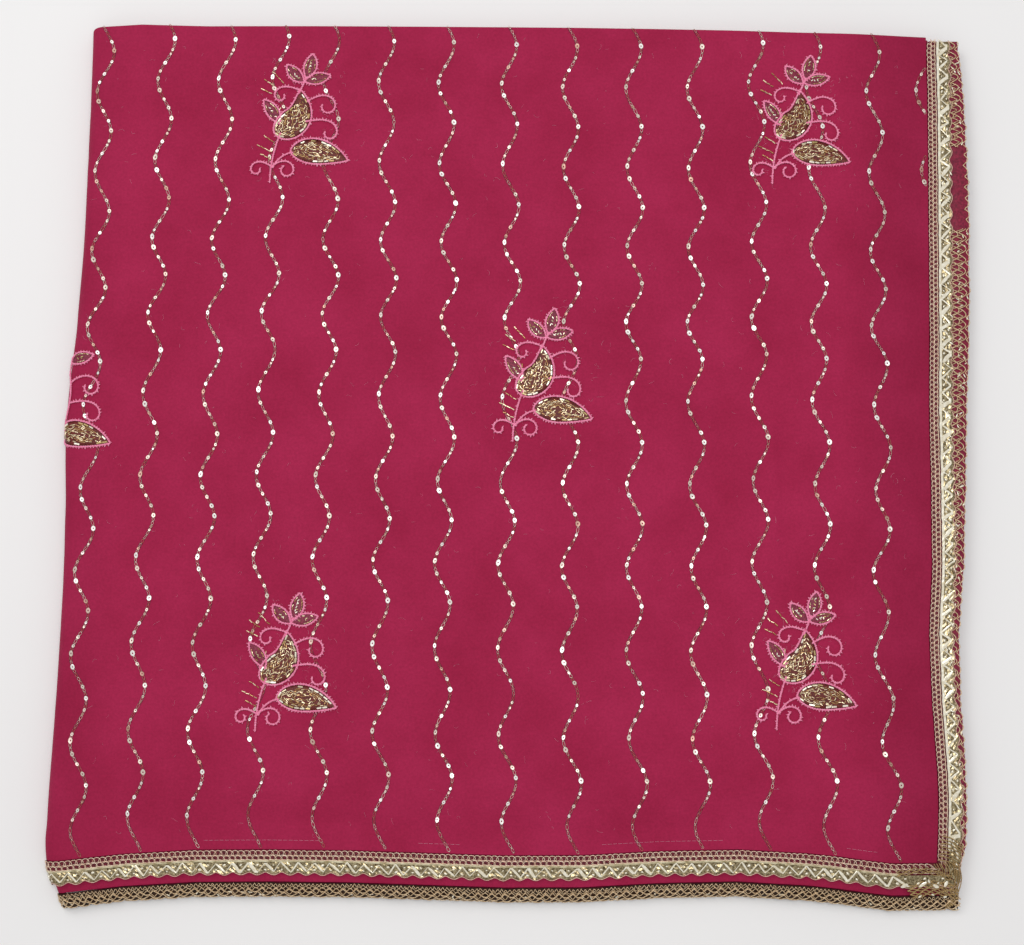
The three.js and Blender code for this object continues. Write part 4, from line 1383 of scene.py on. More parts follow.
# Big facets of the foil, folded at the same corner, near white as painted glints: (a, b), length, width
# and turn in degrees
FACETS = [
    (251.8, -266, 4.6, 2.8, 20), (264, -265.4, 5.6, 2.2, 35), (272.6, -266.6, 3.8, 2.4, -25),
    (279.2, -265.2, 3.6, 2.2, 60), (268, -263.4, 2.6, 1.4, -60), (284.6, -237, 3.4, 1.6, 70),
    (262, -273.2, 2.4, 1.2, 30), (270.5, -272.2, 2.0, 1.1, -20), (278.5, -273.6, 2.2, 1.2, 10),
]


class Band:
    """A lace in its own coordinates, with its unevenness worked in."""

    def __init__(self, row):
        self.place, self.length = row["place"]()
        self.wild, self.seed = row["wild"], row["seed"]
        self.count = round(self.length / SCALLOP_PITCH)
        self.pitch = self.length / self.count

    def at(self, along, out, lift, rough=1.0):
        wild = self.wild * rough
        along = np.asarray(along, float)
        shift = 0.5 * soft_noise(along, out * 0.6, 3.1, self.seed)
        across = 0.6 * soft_noise(along, out * 0.6, 4.3, self.seed + 40)
        up = 0.5 + 0.5 * soft_noise(along, out * 0.6, 5.3, self.seed + 80)
        inside = ease(np.minimum(along, self.length - along) / 6)
        placed_along = np.clip(along + wild * shift * inside, 0, self.length)
        placed_out = np.clip(out + wild * across, 0.1, LACE_WIDTH)
        placed = self.place(placed_along, placed_out, lift + wild * 0.8 * up)
        placed[..., 2] = np.maximum(placed[..., 2], 0.4)
        return placed

    def scallop(self, along):
        return 0.5 - 0.5 * np.cos(2 * math.pi * along / self.pitch)


def triangle(t):
    """A wave of straight lines between -1 and 1."""
    return 4 * np.abs(t - np.floor(t + 0.5)) - 1


def lace_cords(band, row, thread):
    """Crochet loops, and the two lines that hold them."""
    lines = []
    for middle, radius, phase in row["loops"]:
        turns = int(band.length / row["pitch"]) - 1
        t = np.arange(turns * 12) / 12 * 2 * math.pi
        along = (t / (2 * math.pi) + 0.5 + phase) * row["pitch"] + radius * 0.92 * np.sin(t)
        size = 1 + 0.12 * soft_noise(along, middle, 2.9, band.seed + 5)
        out = middle - radius * size * np.cos(t)
        lift = 0.5 + 0.28 * np.sin(t + 0.8)
        lines.append((band.at(np.clip(along, 0, band.length), out, lift), thread * 0.92))
    steady = np.arange(0, band.length, 1.3)
    last_middle, last_radius, _ = row["loops"][-1]
    between = (row["loops"][0][0] + last_middle) / 2
    for out, radius in ((between, 0.8), (last_middle + last_radius + 0.15, 1.1)):
        sway = 0.18 * np.sin(steady * 2 * math.pi / row["pitch"])
        lines.append((band.at(steady, out + sway, 0.5), thread * radius))
    return lines


def worn_cords(band, row, thread):
    """Slanted strokes, cords that cross in diamonds, and rows of hanging arcs."""
    fine = np.arange(0, band.length, 0.8)
    arcs = math.pi * fine / row["pitch"]
    lines = []
    if not row["from"]:
        lines.append((band.at(fine, 2.2 + 1.9 * triangle(fine / 2.7), 0.8), thread))
        lines.append((band.at(fine, 4.6 + 1.8 * triangle(fine / 4.3), 0.7), thread * 0.9))
        lines.append((band.at(fine, 5.6 + 4.0 * np.abs(np.sin(arcs)), 1.0), thread * 1.25))
    lines.append((band.at(fine, 9.6 + 4.2 * np.abs(np.sin(arcs + 1.1)), 0.95), thread * 1.35))
    for phase in (0.0, 0.5):
        wide = 2.6 if row["from"] else 4.0
        cross = 12.4 - wide + wide * triangle(fine / row["pitch"] + phase)
        lines.append((band.at(fine, cross, 0.6 + 0.3 * phase), thread * 1.1))
    if "bare" not in row:
        return lines
    parts = (fine < row["bare"][0], fine > row["bare"][1])
    return [(line[part], radius) for line, radius in lines for part in parts]


def edge_cord(band, row):
    """The outermost cord: a soft wave, or hanging arcs where the lace is worn."""
    fine = np.arange(0, band.length, band.pitch / 12)
    out = SCALLOP_MIDDLE + SCALLOP_RISE * band.scallop(fine) ** 0.8
    if row["worn"]:
        out = 13.6 + 2.5 * np.abs(np.sin(math.pi * fine / row["pitch"] + 0.4))
    return band.at(fine, out, 0.45), SCALLOP_RADIUS


def ribbon(band, along, inner, outer, lift, thick, steps, crumple=0.0):
    """A closed flat strip of the lace from inner to outer, with small facets."""
    shares = np.linspace(0, 1, steps + 1)
    shape = (len(along), steps + 1)
    s = np.broadcast_to(along[:, None], shape)
    inner, outer = (np.broadcast_to(v, len(along))[:, None] for v in (inner, outer))
    out = np.broadcast_to(lerp(inner, outer, shares), shape)
    bumps = np.random.RandomState(band.seed + steps).uniform(-1, 1, shape) * crumple
    top = band.at(s, out, lift + bumps)
    under = band.at(s, out, lift + bumps - thick)
    under[..., 2] = np.minimum(under[..., 2], top[..., 2] - 0.02)
    points, faces, _ = shell(top.transpose(1, 0, 2), under.transpose(1, 0, 2))
    return points, faces


def zigzag_strip(band, bars, trim):
    """The bright flat strip that goes to and fro across the foil, wide and narrow by turns."""
    corners = np.arange(2 * band.count + 1) * band.pitch / 2
    odd = np.arange(len(corners)) % 2
    jitter = np.random.RandomState(band.seed + 8).uniform(-0.8, 0.8, len(corners))
    corners[1:-1] += jitter[1:-1]
    steps = 4
    spans = [
        np.linspace(start, end, steps, endpoint=False)
        for start, end in zip(corners[:-1], corners[1:])
    ]
    along = np.concatenate([*spans, corners[-1:]])
    along = along[(along >= trim[0]) & (along <= band.length - trim[1])]
    random = np.random.RandomState(band.seed + 9)
    bends = np.where(odd, ZIGZAG[1], ZIGZAG[0]) + random.uniform(-0.7, 0.7, len(corners))
    out = np.interp(along, corners, bends)
    arm = np.minimum((along / (band.pitch / 2)).astype(int), len(corners) - 2)
    half = np.array(bars)[arm % 2] * random.uniform(0.5, 1.35, len(corners))[arm]
    middle = np.arange(len(along)) % steps
    half = np.where(middle == 0, half * 0.75, half)
    shares = np.array([-1.0, 0.0, 1.0])
    s = np.clip(along[:, None] + shares * half[:, None], 0, band.length)
    o = np.broadcast_to(out[:, None], s.shape)
    tilt = random.uniform(-0.14, 0.14, (len(corners), 1))[arm] * shares
    crown = 0.9 + 0.1 * (1 - shares**2)
    top = band.at(s, o, crown + tilt)
    under = band.at(s, o, crown + tilt - 0.25)
    under[..., 2] = np.minimum(under[..., 2], top[..., 2] - 0.02)
    points, faces, _ = shell(top.transpose(1, 0, 2), under.transpose(1, 0, 2))
    return points, faces


def merged(parts):
    """Several (points, faces) as one."""
    points, faces, count = [], [], 0
    for part_points, part_faces in parts:
        points.append(part_points)
        faces += [[count + k for k in face] for face in part_faces]
        count += len(part_points)
    return np.concatenate(points), faces


class SAREE_OT_lace(PieceOperator):
    """Metallic lace along the edges: crochet loops, a foil band with its zigzag, scalloped cords"""

    bl_idname = "saree.lace"
    bl_label = "Lace"

    def execute(self, context):
        sizes = context.scene.saree_lace
        thread = sizes.thread * 1000
        # Zari is lacquered film wound on a soft core: it glitters in broken points over a matt body,
        # partly by reflection and partly as painted highlight in near-white spots of its colour
        bright = metallic("Zari thread, pale gold", "#d8a07e", "#fff4e0", 0.4, 0.0006, 0.0001, metal=0.35)
        # A darker copy of the same zari for the back cloth's laces and the lowest one: painted shade
        shaded_zari = metallic("Zari thread, old gold", "#b28a5e", "#ffe8c2", 0.4, 0.0006, 0.0001, metal=0.45)
        rose = metallic("Zari cord, rose gilt", "#b78c78", "#e6c8b4", 0.4, 0.0009, 0.0001, metal=0.4)
        # Pressed foil: sharp small lights next to dark facets, and broad pale ones on the flat strips,
        # which are partly reflection and partly painted highlight in their near-white colour
        foil = metallic("Gilt foil strip, olive", "#5a482f", "#d2c29a", 0.28, 0.0013, 0.0002)
        # Near white with little metal, so the strips stay bright under any lamp: painted highlight
        bar = metallic("Silver foil strip", "#e4d9bc", "#fffbec", 0.24, 0.002, 0.00005, metal=0.3)
        # Dark strips under the cords: painted shade in the crochet's holes, over the cloth's red
        ground = thread_material("Crochet ground, dark red", "#3f0b15", "#7c2534", 0.0012, sheen=0)
        wine = thread_material("Crochet ground, wine", "#64122a", "#932140", 0.0016, sheen=0)
        line = metallic("Gilt foil strip, pale", "#a8966a", "#f6ecca", 0.24, 0.004, 0.00005, metal=0.5)
        # Near black: painted shade in the holes of the crushed laces
        brown = thread_material("Crochet ground, brown", "#0f0502", "#40240f", 0.0016, sheen=0)
        for row in LACES:
            band = Band(row)
            name, worn = row["node"], row["worn"]
            steady = np.arange(0, band.length, band.pitch / 6)
            lines = (worn_cords if worn else lace_cords)(band, row, thread)
            pieces = [cords(name + "_cords", lines, shaded_zari if worn else bright, sizes.sides)]
            pieces.append(cords(name + "_edge", [edge_cord(band, row)], shaded_zari if worn else rose, 5))
            edge = FOIL_BAND[1] + FOIL_SCALLOP * band.scallop(steady)
            start = max(0.15, row["from"])
            if worn:
                under = wine if "bare" in row else brown
                strips = [(under, "_ground", ribbon(band, steady, start, 15.6, 0.25, 0.2, 5))]
            else:
                trim = row["trim"]
                lit = steady[(steady >= trim[0]) & (steady <= band.length - trim[1])]
                shine = bar if row["glints"] else line
                strips = [
                    (ground, "_ground", ribbon(band, steady, start, row["line"][0], 0.12, 0.1, 3)),
                    (foil, "_foil", ribbon(band, steady, FOIL_BAND[0], edge, 0.5, 0.4, 5, 0.32)),
                    (shine, "_line", ribbon(band, lit, *row["line"], 0.8, 0.3, 1, 0.08)),
                    (bar, "_zigzag", zigzag_strip(band, row["bars"], trim)),
                ]
            for material, label, (points, faces) in strips:
                piece = mesh_piece(name + label, to_frame(points), faces, material)
                piece.data.polygons.foreach_set("use_smooth", [False] * len(faces))
                pieces.append(piece)
            if not worn:
                pieces.append(self.knots(name, band, bar))
            if row["glints"]:
                pieces.append(self.glints(name, band, row, bar))
            for piece in pieces:
                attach(piece, "root")
                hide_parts(name)
        # Zari cords at the corner, drawn duller and darker than the rest of the lace
        olive = metallic(
            "Zari cord, dull olive gilt", "#6b5232", "#cbab74", 0.42, 0.0006, 0.0001, metal=0.45
        )
        self.corner(olive, bar)
        return {"FINISHED"}

    @staticmethod
    def on_band(band, along, out, lift):
        """Points of a lace and the turns of what lies flat on it, pointing along it."""
        here, ahead = band.at(along, out, lift, 0.0), band.at(along + 0.5, out, lift, 0.0)
        aside = band.at(along, out + 0.5, lift, 0.0)
        normal = unit(np.cross(ahead - here, here - aside))
        normal = normal * np.where(normal[:, 2:] < 0, -1, 1)
        return here, euler_of(unit(ahead - here), normal)

    def glints(self, name, band, row, material):
        """Bits of foil among the cords, in the near-white foil finish: painted glints."""
        random = np.random.RandomState(band.seed + 3)
        along = random.uniform(2, band.length - 2, row["glints"])
        out = random.uniform(9.0 if row["worn"] else 8.6, 15.0, row["glints"])
        first, last = row.get("bare", (0, 0))
        covered = (along < first) | (along > last)
        along, out = along[covered], out[covered]
        points, turns = self.on_band(band, along, out, 1.15)
        sizes = stack(random.uniform(1.6, 3.0, len(along)), random.uniform(0.7, 1.3, len(along)), 0.5)
        return sewn(
            name + "_glints", points, turns, sizes, grain_shape, material, band.seed + 3,
            tilt=10, spin=75,
        )

    def knots(self, name, band, material):
        """A small pale knot in every bend of the zigzag, in the near-white foil finish: a painted glint.
        """
        along = np.arange(1, 2 * band.count) * band.pitch / 2
        out = np.where(np.arange(1, 2 * band.count) % 2, 9.6, 12.6)
        points, turns = self.on_band(band, along, out, 0.95)
        return sewn(
            name + "_knots", points, turns, (1.7, 1.4, 0.7), grain_shape, material, band.seed,
            spin=40, vary=0.35,
        )

    @staticmethod
    def corner(material, bar):
        """The lace bunches where it turns the corner: gathered strands and folded foil."""
        lines = []
        t = np.linspace(0, 1, 25)[:, None]
        for number, (first, last, count, radius, lift) in enumerate(GATHERS):
            for k in range(count):
                start = lerp(np.array(first[0], float), np.array(last[0], float), k / (count - 1))
                end = lerp(np.array(first[1], float), np.array(last[1], float), k / (count - 1))
                run = end - start
                bow = 0.1 * np.sin(math.pi * t) * np.array([-run[1], run[0]])
                path = start + run * t + bow
                rise = lift + 0.3 * np.sin(math.pi * t[:, 0])
                rise = rise + 0.2 * soft_noise(t[:, 0] * 9, k, 3.0, number)
                path = path + 0.35 * soft_noise(t * 7, k * 3.0, 2.0, number + 20)
                path[:, 1] += 0.7 * np.sin(t[:, 0] * 26 + k * 2.1) * (math.hypot(*run) > 25)
                lines.append((face_at(path[:, 0], path[:, 1], rise), radius * 0.8))
        strands = cords("corner_gathers", lines, material, 5)
        spots = np.array([row[:2] for row in FACETS], float)
        angles = np.radians([row[4] for row in FACETS])
        points, turns = on_face(spots, stack(np.cos(angles), np.sin(angles)), 1.5)
        size = np.array([(row[2], row[3], 0.5) for row in FACETS])
        folds = sewn("corner_foil", points, turns, size, grain_shape, bar, 55, tilt=10)
        folds.data.polygons.foreach_set("use_smooth", [False] * len(folds.data.polygons))
        for piece in (strands, folds):
            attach(piece, "root")
            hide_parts("face_end_lace")


# ------------------------------------------------------------------------------------ motifs


def shown(rows, name):
    """The leaves or cords that a motif shows: part of the one at the nose is under the pile."""
    return [row for row in rows if name != "motif_left_fold" or row["name"] in LEFT_FOLD_SHOWS]


def leaf_line(leaf, count):
    """Spine, heading and half-width of a leaf, from its base to its tip."""
    base, tip = np.array(leaf["base"], float), np.array(leaf["tip"], float)
    run = tip - base
    long = math.hypot(*run)
    t = np.linspace(0, 1, count)
    skew = math.log(0.5) / math.log(leaf["fat"])
    half = np.maximum(0.4, leaf["half"] * np.abs(np.sin(math.pi * t**skew)) ** 0.75)
    bow = leaf["bend"] * np.sin(math.pi * t)
    spine = base + run * t[:, None] + np.array([-run[1], run[0]]) / long * bow[:, None]
    heading = math.atan2(run[1], run[0]) + np.arctan2(
        leaf["bend"] * math.pi * np.cos(math.pi * t), long
    )
    return spine, heading, half


def leaf_side(leaf, share, inset=0.0, count=90):
    """A line along the leaf, share from -1 at its left side to 1 at its right, moved in by inset."""
    spine, heading, half = leaf_line(leaf, count)
    reach = share * np.maximum(half - inset, 0)
    return spine + stack(np.sin(heading) * reach, -np.cos(heading) * reach)


def leaf_outline(leaf, inset=0.0):
    left, right = leaf_side(leaf, -1, inset), leaf_side(leaf, 1, inset)
    return np.concatenate([left, right[::-1]])


def level_place(a, b):
    return stack(a, b, 0 * a)


def curl_line(curl):
    count = 160
    t = (np.arange(count) + 0.5) / count
    heading = np.radians(curl["heading"] + curl["turn"] * t ** curl["tight"])
    steps = stack(np.cos(heading), np.sin(heading)) * curl["length"] / count
    return np.array(curl["from"]) + np.concatenate([[[0, 0]], np.cumsum(steps, axis=0)])


def bead_rows(leaf, bead, random):
    """What fills a leaf, as (line, length, width, share left out): a row of big bugle beads just
    inside the outline, and finer wavy rows of gold within it."""
    if leaf["half"] < 5:
        middle = leaf_side(leaf, 0)[22:66]
        bent = middle + 0.5 * stack(np.sin(np.arange(44) * 0.6), np.cos(np.arange(44) * 0.6))
        sides = [leaf_side(leaf, share, 1.3)[30:74] for share in (-1, 1)]
        return [(bent, bead * 0.5, 0.7, 0.35)], [(line, bead * 0.5, 0.6, 0.2) for line in sides]
    big, fine = [], []
    _, _, half = leaf_line(leaf, 90)
    for inset in (1.8, 3.2, 4.3, 5.4, 6.5, 7.6, 8.7):
        keep = half > inset + 0.5
        if keep.sum() < 5:
            continue
        left, right = leaf_side(leaf, -1, inset)[keep], leaf_side(leaf, 1, inset)[keep]
        line = np.concatenate([left, right[::-1], left[:1]])
        if inset < 2:
            big.append((line, bead * 1.0, 1.2, 0.42))
        else:
            sway = 0.45 * np.sin(np.arange(len(line)) * 0.55 + inset)
            bent = line + stack(sway, -sway * 0.7) + random.normal(0, 0.08, line.shape)
            fine.append((bent, bead * 0.62, 0.6, 0.16))
    return big, fine


class SAREE_OT_motifs(PieceOperator):
    """Motifs: chain-stitched outlines with picots, filled with bugle beads on a dark ground"""

    bl_idname = "saree.motifs"
    bl_label = "Motifs"

    def execute(self, context):
        sizes = context.scene.saree_motif
        # Twisted art silk: a soft satin glow and no sharp light
        pink = thread_material("Art silk thread, pink", "#dc5886", "#fba4c4", 0.0007)
        # Glass tubes lined with silver or gold: some flash and others stay dark, partly by how each lies
        # and partly by a random tone per bead, from dark gold to near white, that paints the flash
        gilt = metallic(
            "Bugle beads, silver lined", "#b39a66", "#fffbe8", 0.25, 0.001, 0.0001,
            tone=True, metal=0.35,
        )
        gold = metallic(
            "Cut beads, antique gold", "#ab8454", "#f6e4be", 0.3, 0.001, 0.0001,
            tone=True, metal=0.5,
        )
        # Flat couched stitches, matt and dark, so that the beads stand out
        ground = thread_material("Couched ground, dark brown", "#441412", "#7e3029", 0.0011, sheen=0)
        rose = thread_material("Couched ground, deep rose", "#5e1628", "#97304e", 0.0011, sheen=0)
        for number, (name, centre) in enumerate(MOTIFS.items()):
            self.motif(
                name, np.array(centre, float), number, sizes, pink, gilt, gold, (ground, rose)
            )
        return {"FINISHED"}

    def motif(self, name, centre, number, sizes, pink, gilt, gold, grounds):
        left_fold_one = name == "motif_left_fold"
        leaves, curls = shown(LEAVES, name), shown(CURLS, name)
        lines = [(leaf_outline(leaf), leaf["name"] != "bud") for leaf in leaves]
        lines += [(curl_line(curl), "curl" in curl["name"]) for curl in curls]
        if left_fold_one:
            lines.append((curl_line(BUD_RIM), False))
        stitch, cord = sizes.stitch * 1000, sizes.cord * 1000
        points, turns, thorn_points, thorn_turns = [], [], [], []
        for k, (line, thorny) in enumerate(lines):
            at, heading = resampled(line + centre, stitch * 0.72, face_at)
            lift = cord * 0.42 + 0.03 * k
            p, e = on_face(at, heading, lift)
            points.append(p)
            turns.append(e)
            at, heading = resampled(line + centre, 1.9 if thorny else 4.6, face_at, 1.2)
            outward = stack(-heading[:, 1], heading[:, 0])
            if k < len(leaves) or curls[min(k - len(leaves), len(curls) - 1)]["turn"] > 0:
                outward = -outward if k >= len(leaves) else outward
            edge = at + outward * cord * 0.25
            p, e = on_face(edge, outward, lift)
            thorn_points.append(p)
            thorn_turns.append(e)
        points, turns = np.concatenate(points), np.concatenate(turns)
        chain = sewn(
            name + "_chain", points, turns, (stitch, cord, cord * 0.85), grain_shape, pink,
            100 + number, tilt=6, spin=11, vary=0.08,
        )
        thorns = sewn(
            name + "_picots", np.concatenate(thorn_points), np.concatenate(thorn_turns),
            (1.25, 0.95, 0.8), thorn_shape, pink, 200 + number, tilt=12, spin=32, vary=0.45,
        )
        outline = joined(name + "_thread", [chain, thorns])
        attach(outline, "root")
        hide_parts(name)
        random = np.random.RandomState(70 + number)
        bead = sizes.bead * 1000
        rows = {"big": [], "fine": []}
        for leaf in leaves:
            big, fine = bead_rows(leaf, bead, random)
            rows["big"] += big
            rows["fine"] += fine
        if not left_fold_one:
            shares = np.linspace(0, 1, 12)[:, None]
            dashes = [lerp(np.array(s, float), np.array(e, float), shares) for s, e in DASHES]
            rows["fine"] += [(line, 2.5, 0.7, 0.0) for line in dashes]
        for kind, material in (("big", gilt), ("fine", gold)):
            at, heading, bead_sizes = [], [], []
            for line, length, width, gaps in rows[kind]:
                here, ahead = resampled(line, length * 1.14, level_place, length * 0.5)
                kept = random.uniform(size=len(here)) >= gaps
                at.append(here[kept])
                heading.append(ahead[kept])
                bead_sizes.append(np.broadcast_to([length, width, width * 0.8], (kept.sum(), 3)))
            points, turns = on_face(np.concatenate(at) + centre, np.concatenate(heading), 0.9)
            beads = sewn(
                f"{name}_{kind}_beads", points, turns, np.concatenate(bead_sizes), bugle_shape,
                material, 300 + number, tilt=9, spin=8 if kind == "big" else 16, vary=0.14,
            )
            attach(beads, "root")
            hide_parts(name)
        for label, ground, small in (("ground", grounds[0], False), ("rose", grounds[1], True)):
            chosen = [leaf for leaf in leaves if (leaf["half"] < 5) == small]
            points, faces = merged([self.pad(leaf, centre) for leaf in chosen])
            pad = mesh_piece(f"{name}_{label}", to_frame(points), faces, ground)
            tidy(pad)
            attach(pad, "root")
            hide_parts(name)

    @staticmethod
    def pad(leaf, centre):
        """The slightly raised ground that fills one leaf."""
        spine, heading, half = leaf_line(leaf, 31)
        across = np.linspace(-1, 1, 7)
        reach = np.maximum(half - 0.3, 0.2)[:, None] * across
        aside = stack(np.sin(heading)[:, None] * reach, -np.cos(heading)[:, None] * reach)
        spot = spine[:, None, :] + aside + centre
        crown = 0.2 + 0.45 * (1 - across**2)
        top = face_at(spot[..., 0], spot[..., 1], crown[None, :])
        under = face_at(spot[..., 0], spot[..., 1], 0.02)
        points, faces, _ = shell(top.transpose(1, 0, 2), under.transpose(1, 0, 2))
        return points, faces


# ------------------------------------------------------------------------------ sequin lines


def wave_line(number, row, sway):
    """A wavy line across the saree as (a, b) places, from the far fold down to the hem, and how
    many waves it has made by each place."""
    far_x, near_x, crest_shift, bow_far, bow_near = row
    b = np.arange(308.5, -258.0, -0.5)
    middle = lerp(near_x, far_x, (b - WAVE_NEAR_Y) / (WAVE_FAR_Y - WAVE_NEAR_Y))
    middle = middle + bow_far * np.exp(-(((b - BOW_FAR_Y) / BOW_FAR_SPREAD) ** 2))
    middle = middle + bow_near * np.exp(-(((b - BOW_NEAR_Y) / BOW_NEAR_SPREAD) ** 2))
    middle = middle + wander(b) + 0.7 * soft_noise(b, number * 31.0, 60.0, 51)
    crests = np.array([WAVE_CRESTS[0] + 55, *WAVE_CRESTS, WAVE_CRESTS[-1] - 55]) + crest_shift
    turns = np.interp(-b, -crests, np.arange(len(crests)))
    a = middle + sway * np.cos(2 * math.pi * turns)
    keep = (b > hem_line(a) + 0.6) & (b < fold_line(a) + 2.2) & (a < end_edge(b) - 1.2)
    return a, b, turns, keep


wander = curve_through(WAVE_WANDER)


def travelled_along(a, b):
    points = face_at(a, b)
    return np.concatenate([[0.0], np.cumsum(np.linalg.norm(np.diff(points, axis=0), axis=1))])


def headings_along(a, b, travelled, wanted):
    """Places (a, b) at the wanted distances along a line, and the line's direction there."""
    at = stack(*(np.interp(wanted, travelled, line) for line in (a, b)))
    ahead = stack(*(np.interp(wanted + 0.4, travelled, line) for line in (a, b)))
    behind = stack(*(np.interp(wanted - 0.4, travelled, line) for line in (a, b)))
    return at, unit(ahead - behind)


def near_motif(at, clearance):
    """Which places are on a motif's leaves or cords."""
    hit = np.zeros(len(at), bool)
    for name, centre in MOTIFS.items():
        for leaf in shown(LEAVES, name):
            spine, _, half = leaf_line(leaf, 24)
            gap = np.linalg.norm(at[:, None] - (spine + centre)[None], axis=2) - half[None]
            hit |= gap.min(axis=1) < clearance
        for curl in shown(CURLS, name):
            line = curl_line(curl)[::6] + centre
            hit |= np.linalg.norm(at[:, None] - line[None], axis=2).min(axis=1) < clearance
    return hit


class SAREE_OT_sequin_lines(PieceOperator):
    """Wavy lines of cupped sequins, linked by chain stitches in copper thread"""

    bl_idname = "saree.sequin_lines"
    bl_label = "Sequin lines"

    def execute(self, context):
        sizes = context.scene.saree_sequin
        random = np.random.RandomState(5)
        spots, links, outlines = [], [], []
        for number, row in enumerate(WAVES):
            a, b, turns, keep = wave_line(number, row, sizes.sway * 1000)
            runs = np.split(np.arange(len(a)), np.where(np.diff(keep.astype(int)))[0] + 1)
            for run in runs:
                if keep[run[0]] and len(run) >= 12:
                    self.one_run(a[run], b[run], turns[run], random, sizes, spots, links, outlines)
        for bright in (True, False):
            chosen = [row for row in spots if row[3] == bright]
            at, heading = np.array([r[0] for r in chosen]), np.array([r[1] for r in chosen])
            size = np.array([r[2] for r in chosen])
            clear = ~near_motif(at, 1.2)
            points, lie = on_face(at[clear], heading[clear], 0.32)
            if bright:
                # Silvered film, cupped: each one marked bright is drawn lit whole, a near-white painted
                # highlight on top of its real reflection
                finish = metallic(
                    "Clear silvered sequins", "#dccdc0", "#fffcf8", 0.34, 0.0012, 0.0001,
                    tone=True, metal=0.5,
                )
                made = sewn(
                    "sequins", points, lie, size[clear], sequin_shape, finish, 401,
                    tilt=11, spin=12, vary=0.14,
                )
            else:
                # The same film, tinted rose and darker: painted shade for the ones that catch no light
                finish = metallic(
                    "Copper-rose sequins", "#bd9484", "#fbe6da", 0.36, 0.0012, 0.00005,
                    tone=True, metal=0.5,
                )
                made = sewn(
                    "sequins_copper", points, lie, size[clear], sequin_shape, finish, 402,
                    tilt=8, spin=12, vary=0.12,
                )
            self.keep(made)
        at, heading = np.array([r[0] for r in links]), np.array([r[1] for r in links])
        size = np.array([r[2] for r in links])
        clear = ~near_motif(at, 0.4)
        points, lie = on_face(at[clear], heading[clear], 0.26)
        # Copper film on a core: small warm glints along the line, partly reflection and partly painted as
        # a near-white tone on some links
        gilt = metallic(
            "Zari chain stitch, pale copper", "#c97c6a", "#ffe6d8", 0.4, 0.0005, 0.0001,
            tone=True, metal=0.3,
        )
        made = sewn(
            "sequin_links", points, lie, size[clear], link_shape, gilt, 403,
            tilt=2, spin=6, vary=0.1,
        )
        self.keep(made)
        # Dark cords on both sides of the links: a spun holding thread, drawn dark also as their painted
        # contact shadow
        maroon = thread_material("Holding thread, maroon", "#3c0d1c", "#5e1a2e", 0.0007)
        self.keep(cords("sequin_threads", outlines, maroon, 3))
        return {"FINISHED"}

    @staticmethod
    def keep(piece):
        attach(piece, "root")

    @staticmethod
    def one_run(a, b, turns, random, sizes, spots, links, outlines):
        """Lays out one unbroken stretch of a line: its sequins, the links and the thread below, which
        also paints the links' contact shadow.
        """
        travelled = travelled_along(a, b)
        length = travelled[-1]
        places = []
        for wave in range(int(turns[0]) - 1, int(turns[-1]) + 2):
            for share, long, wide, bright in WAVE_SEQUINS:
                if not turns[0] < wave + share < turns[-1]:
                    continue
                distance = np.interp(wave + share, turns, travelled) + random.uniform(-0.5, 0.5)
                place_b = np.interp(distance, travelled, b)
                place_a = np.interp(distance, travelled, a)
                past = min(place_b - hem_line(place_a) - 16, fold_line(place_a) - place_b)
                bare = past < random.uniform(0.3, 1.1) * WAVE_BARE or random.uniform() < 0.05
                swap = random.uniform() < 0.2
                places.append((distance, long, wide, bright != swap, bare))
        shown = [row for row in places if not row[4]]
        if shown:
            at, heading = headings_along(a, b, travelled, np.array([row[0] for row in shown]))
            scale = sizes.scale
            for k, row in enumerate(shown):
                spots.append((at[k], heading[k], (row[1] * scale, row[2] * scale, 2.6), row[3]))
        stops = np.array([0.0, *[row[0] for row in places], length])
        reach = np.array([0.0, *[0 if row[4] else row[1] / 2 for row in places], 0.0])
        middles, lengths = [], []
        for k in range(len(stops) - 1):
            first, last = stops[k] + reach[k] * 0.8, stops[k + 1] - reach[k + 1] * 0.8
            count = max(1, round((last - first) / sizes.link_length / 1000))
            step = (last - first) / count
            if step < 1.0:
                continue
            middles += [first + (j + 0.5) * step for j in range(count)]
            lengths += [step * 1.04] * count
        at, heading = headings_along(a, b, travelled, np.array(middles))
        width = sizes.link_width * 1000
        for k, long in enumerate(lengths):
            links.append((at[k], heading[k], (long, width * random.uniform(0.8, 1.15), 3.6)))
        fine = np.arange(0.4, length, WAVE_THREAD_STEP)
        at, heading = headings_along(a, b, travelled, fine)
        for side in (-1, 1):
            shift = side * (0.46 * width + 0.2 * soft_noise(fine, side * 9.0 + a[0], 2.1, 61))
            aside = at + stack(-heading[:, 1], heading[:, 0]) * shift[:, None]
            outlines.append((face_at(aside[:, 0], aside[:, 1], 0.10), 0.2))


# ----------------------------------------------------------------------------- stray threads


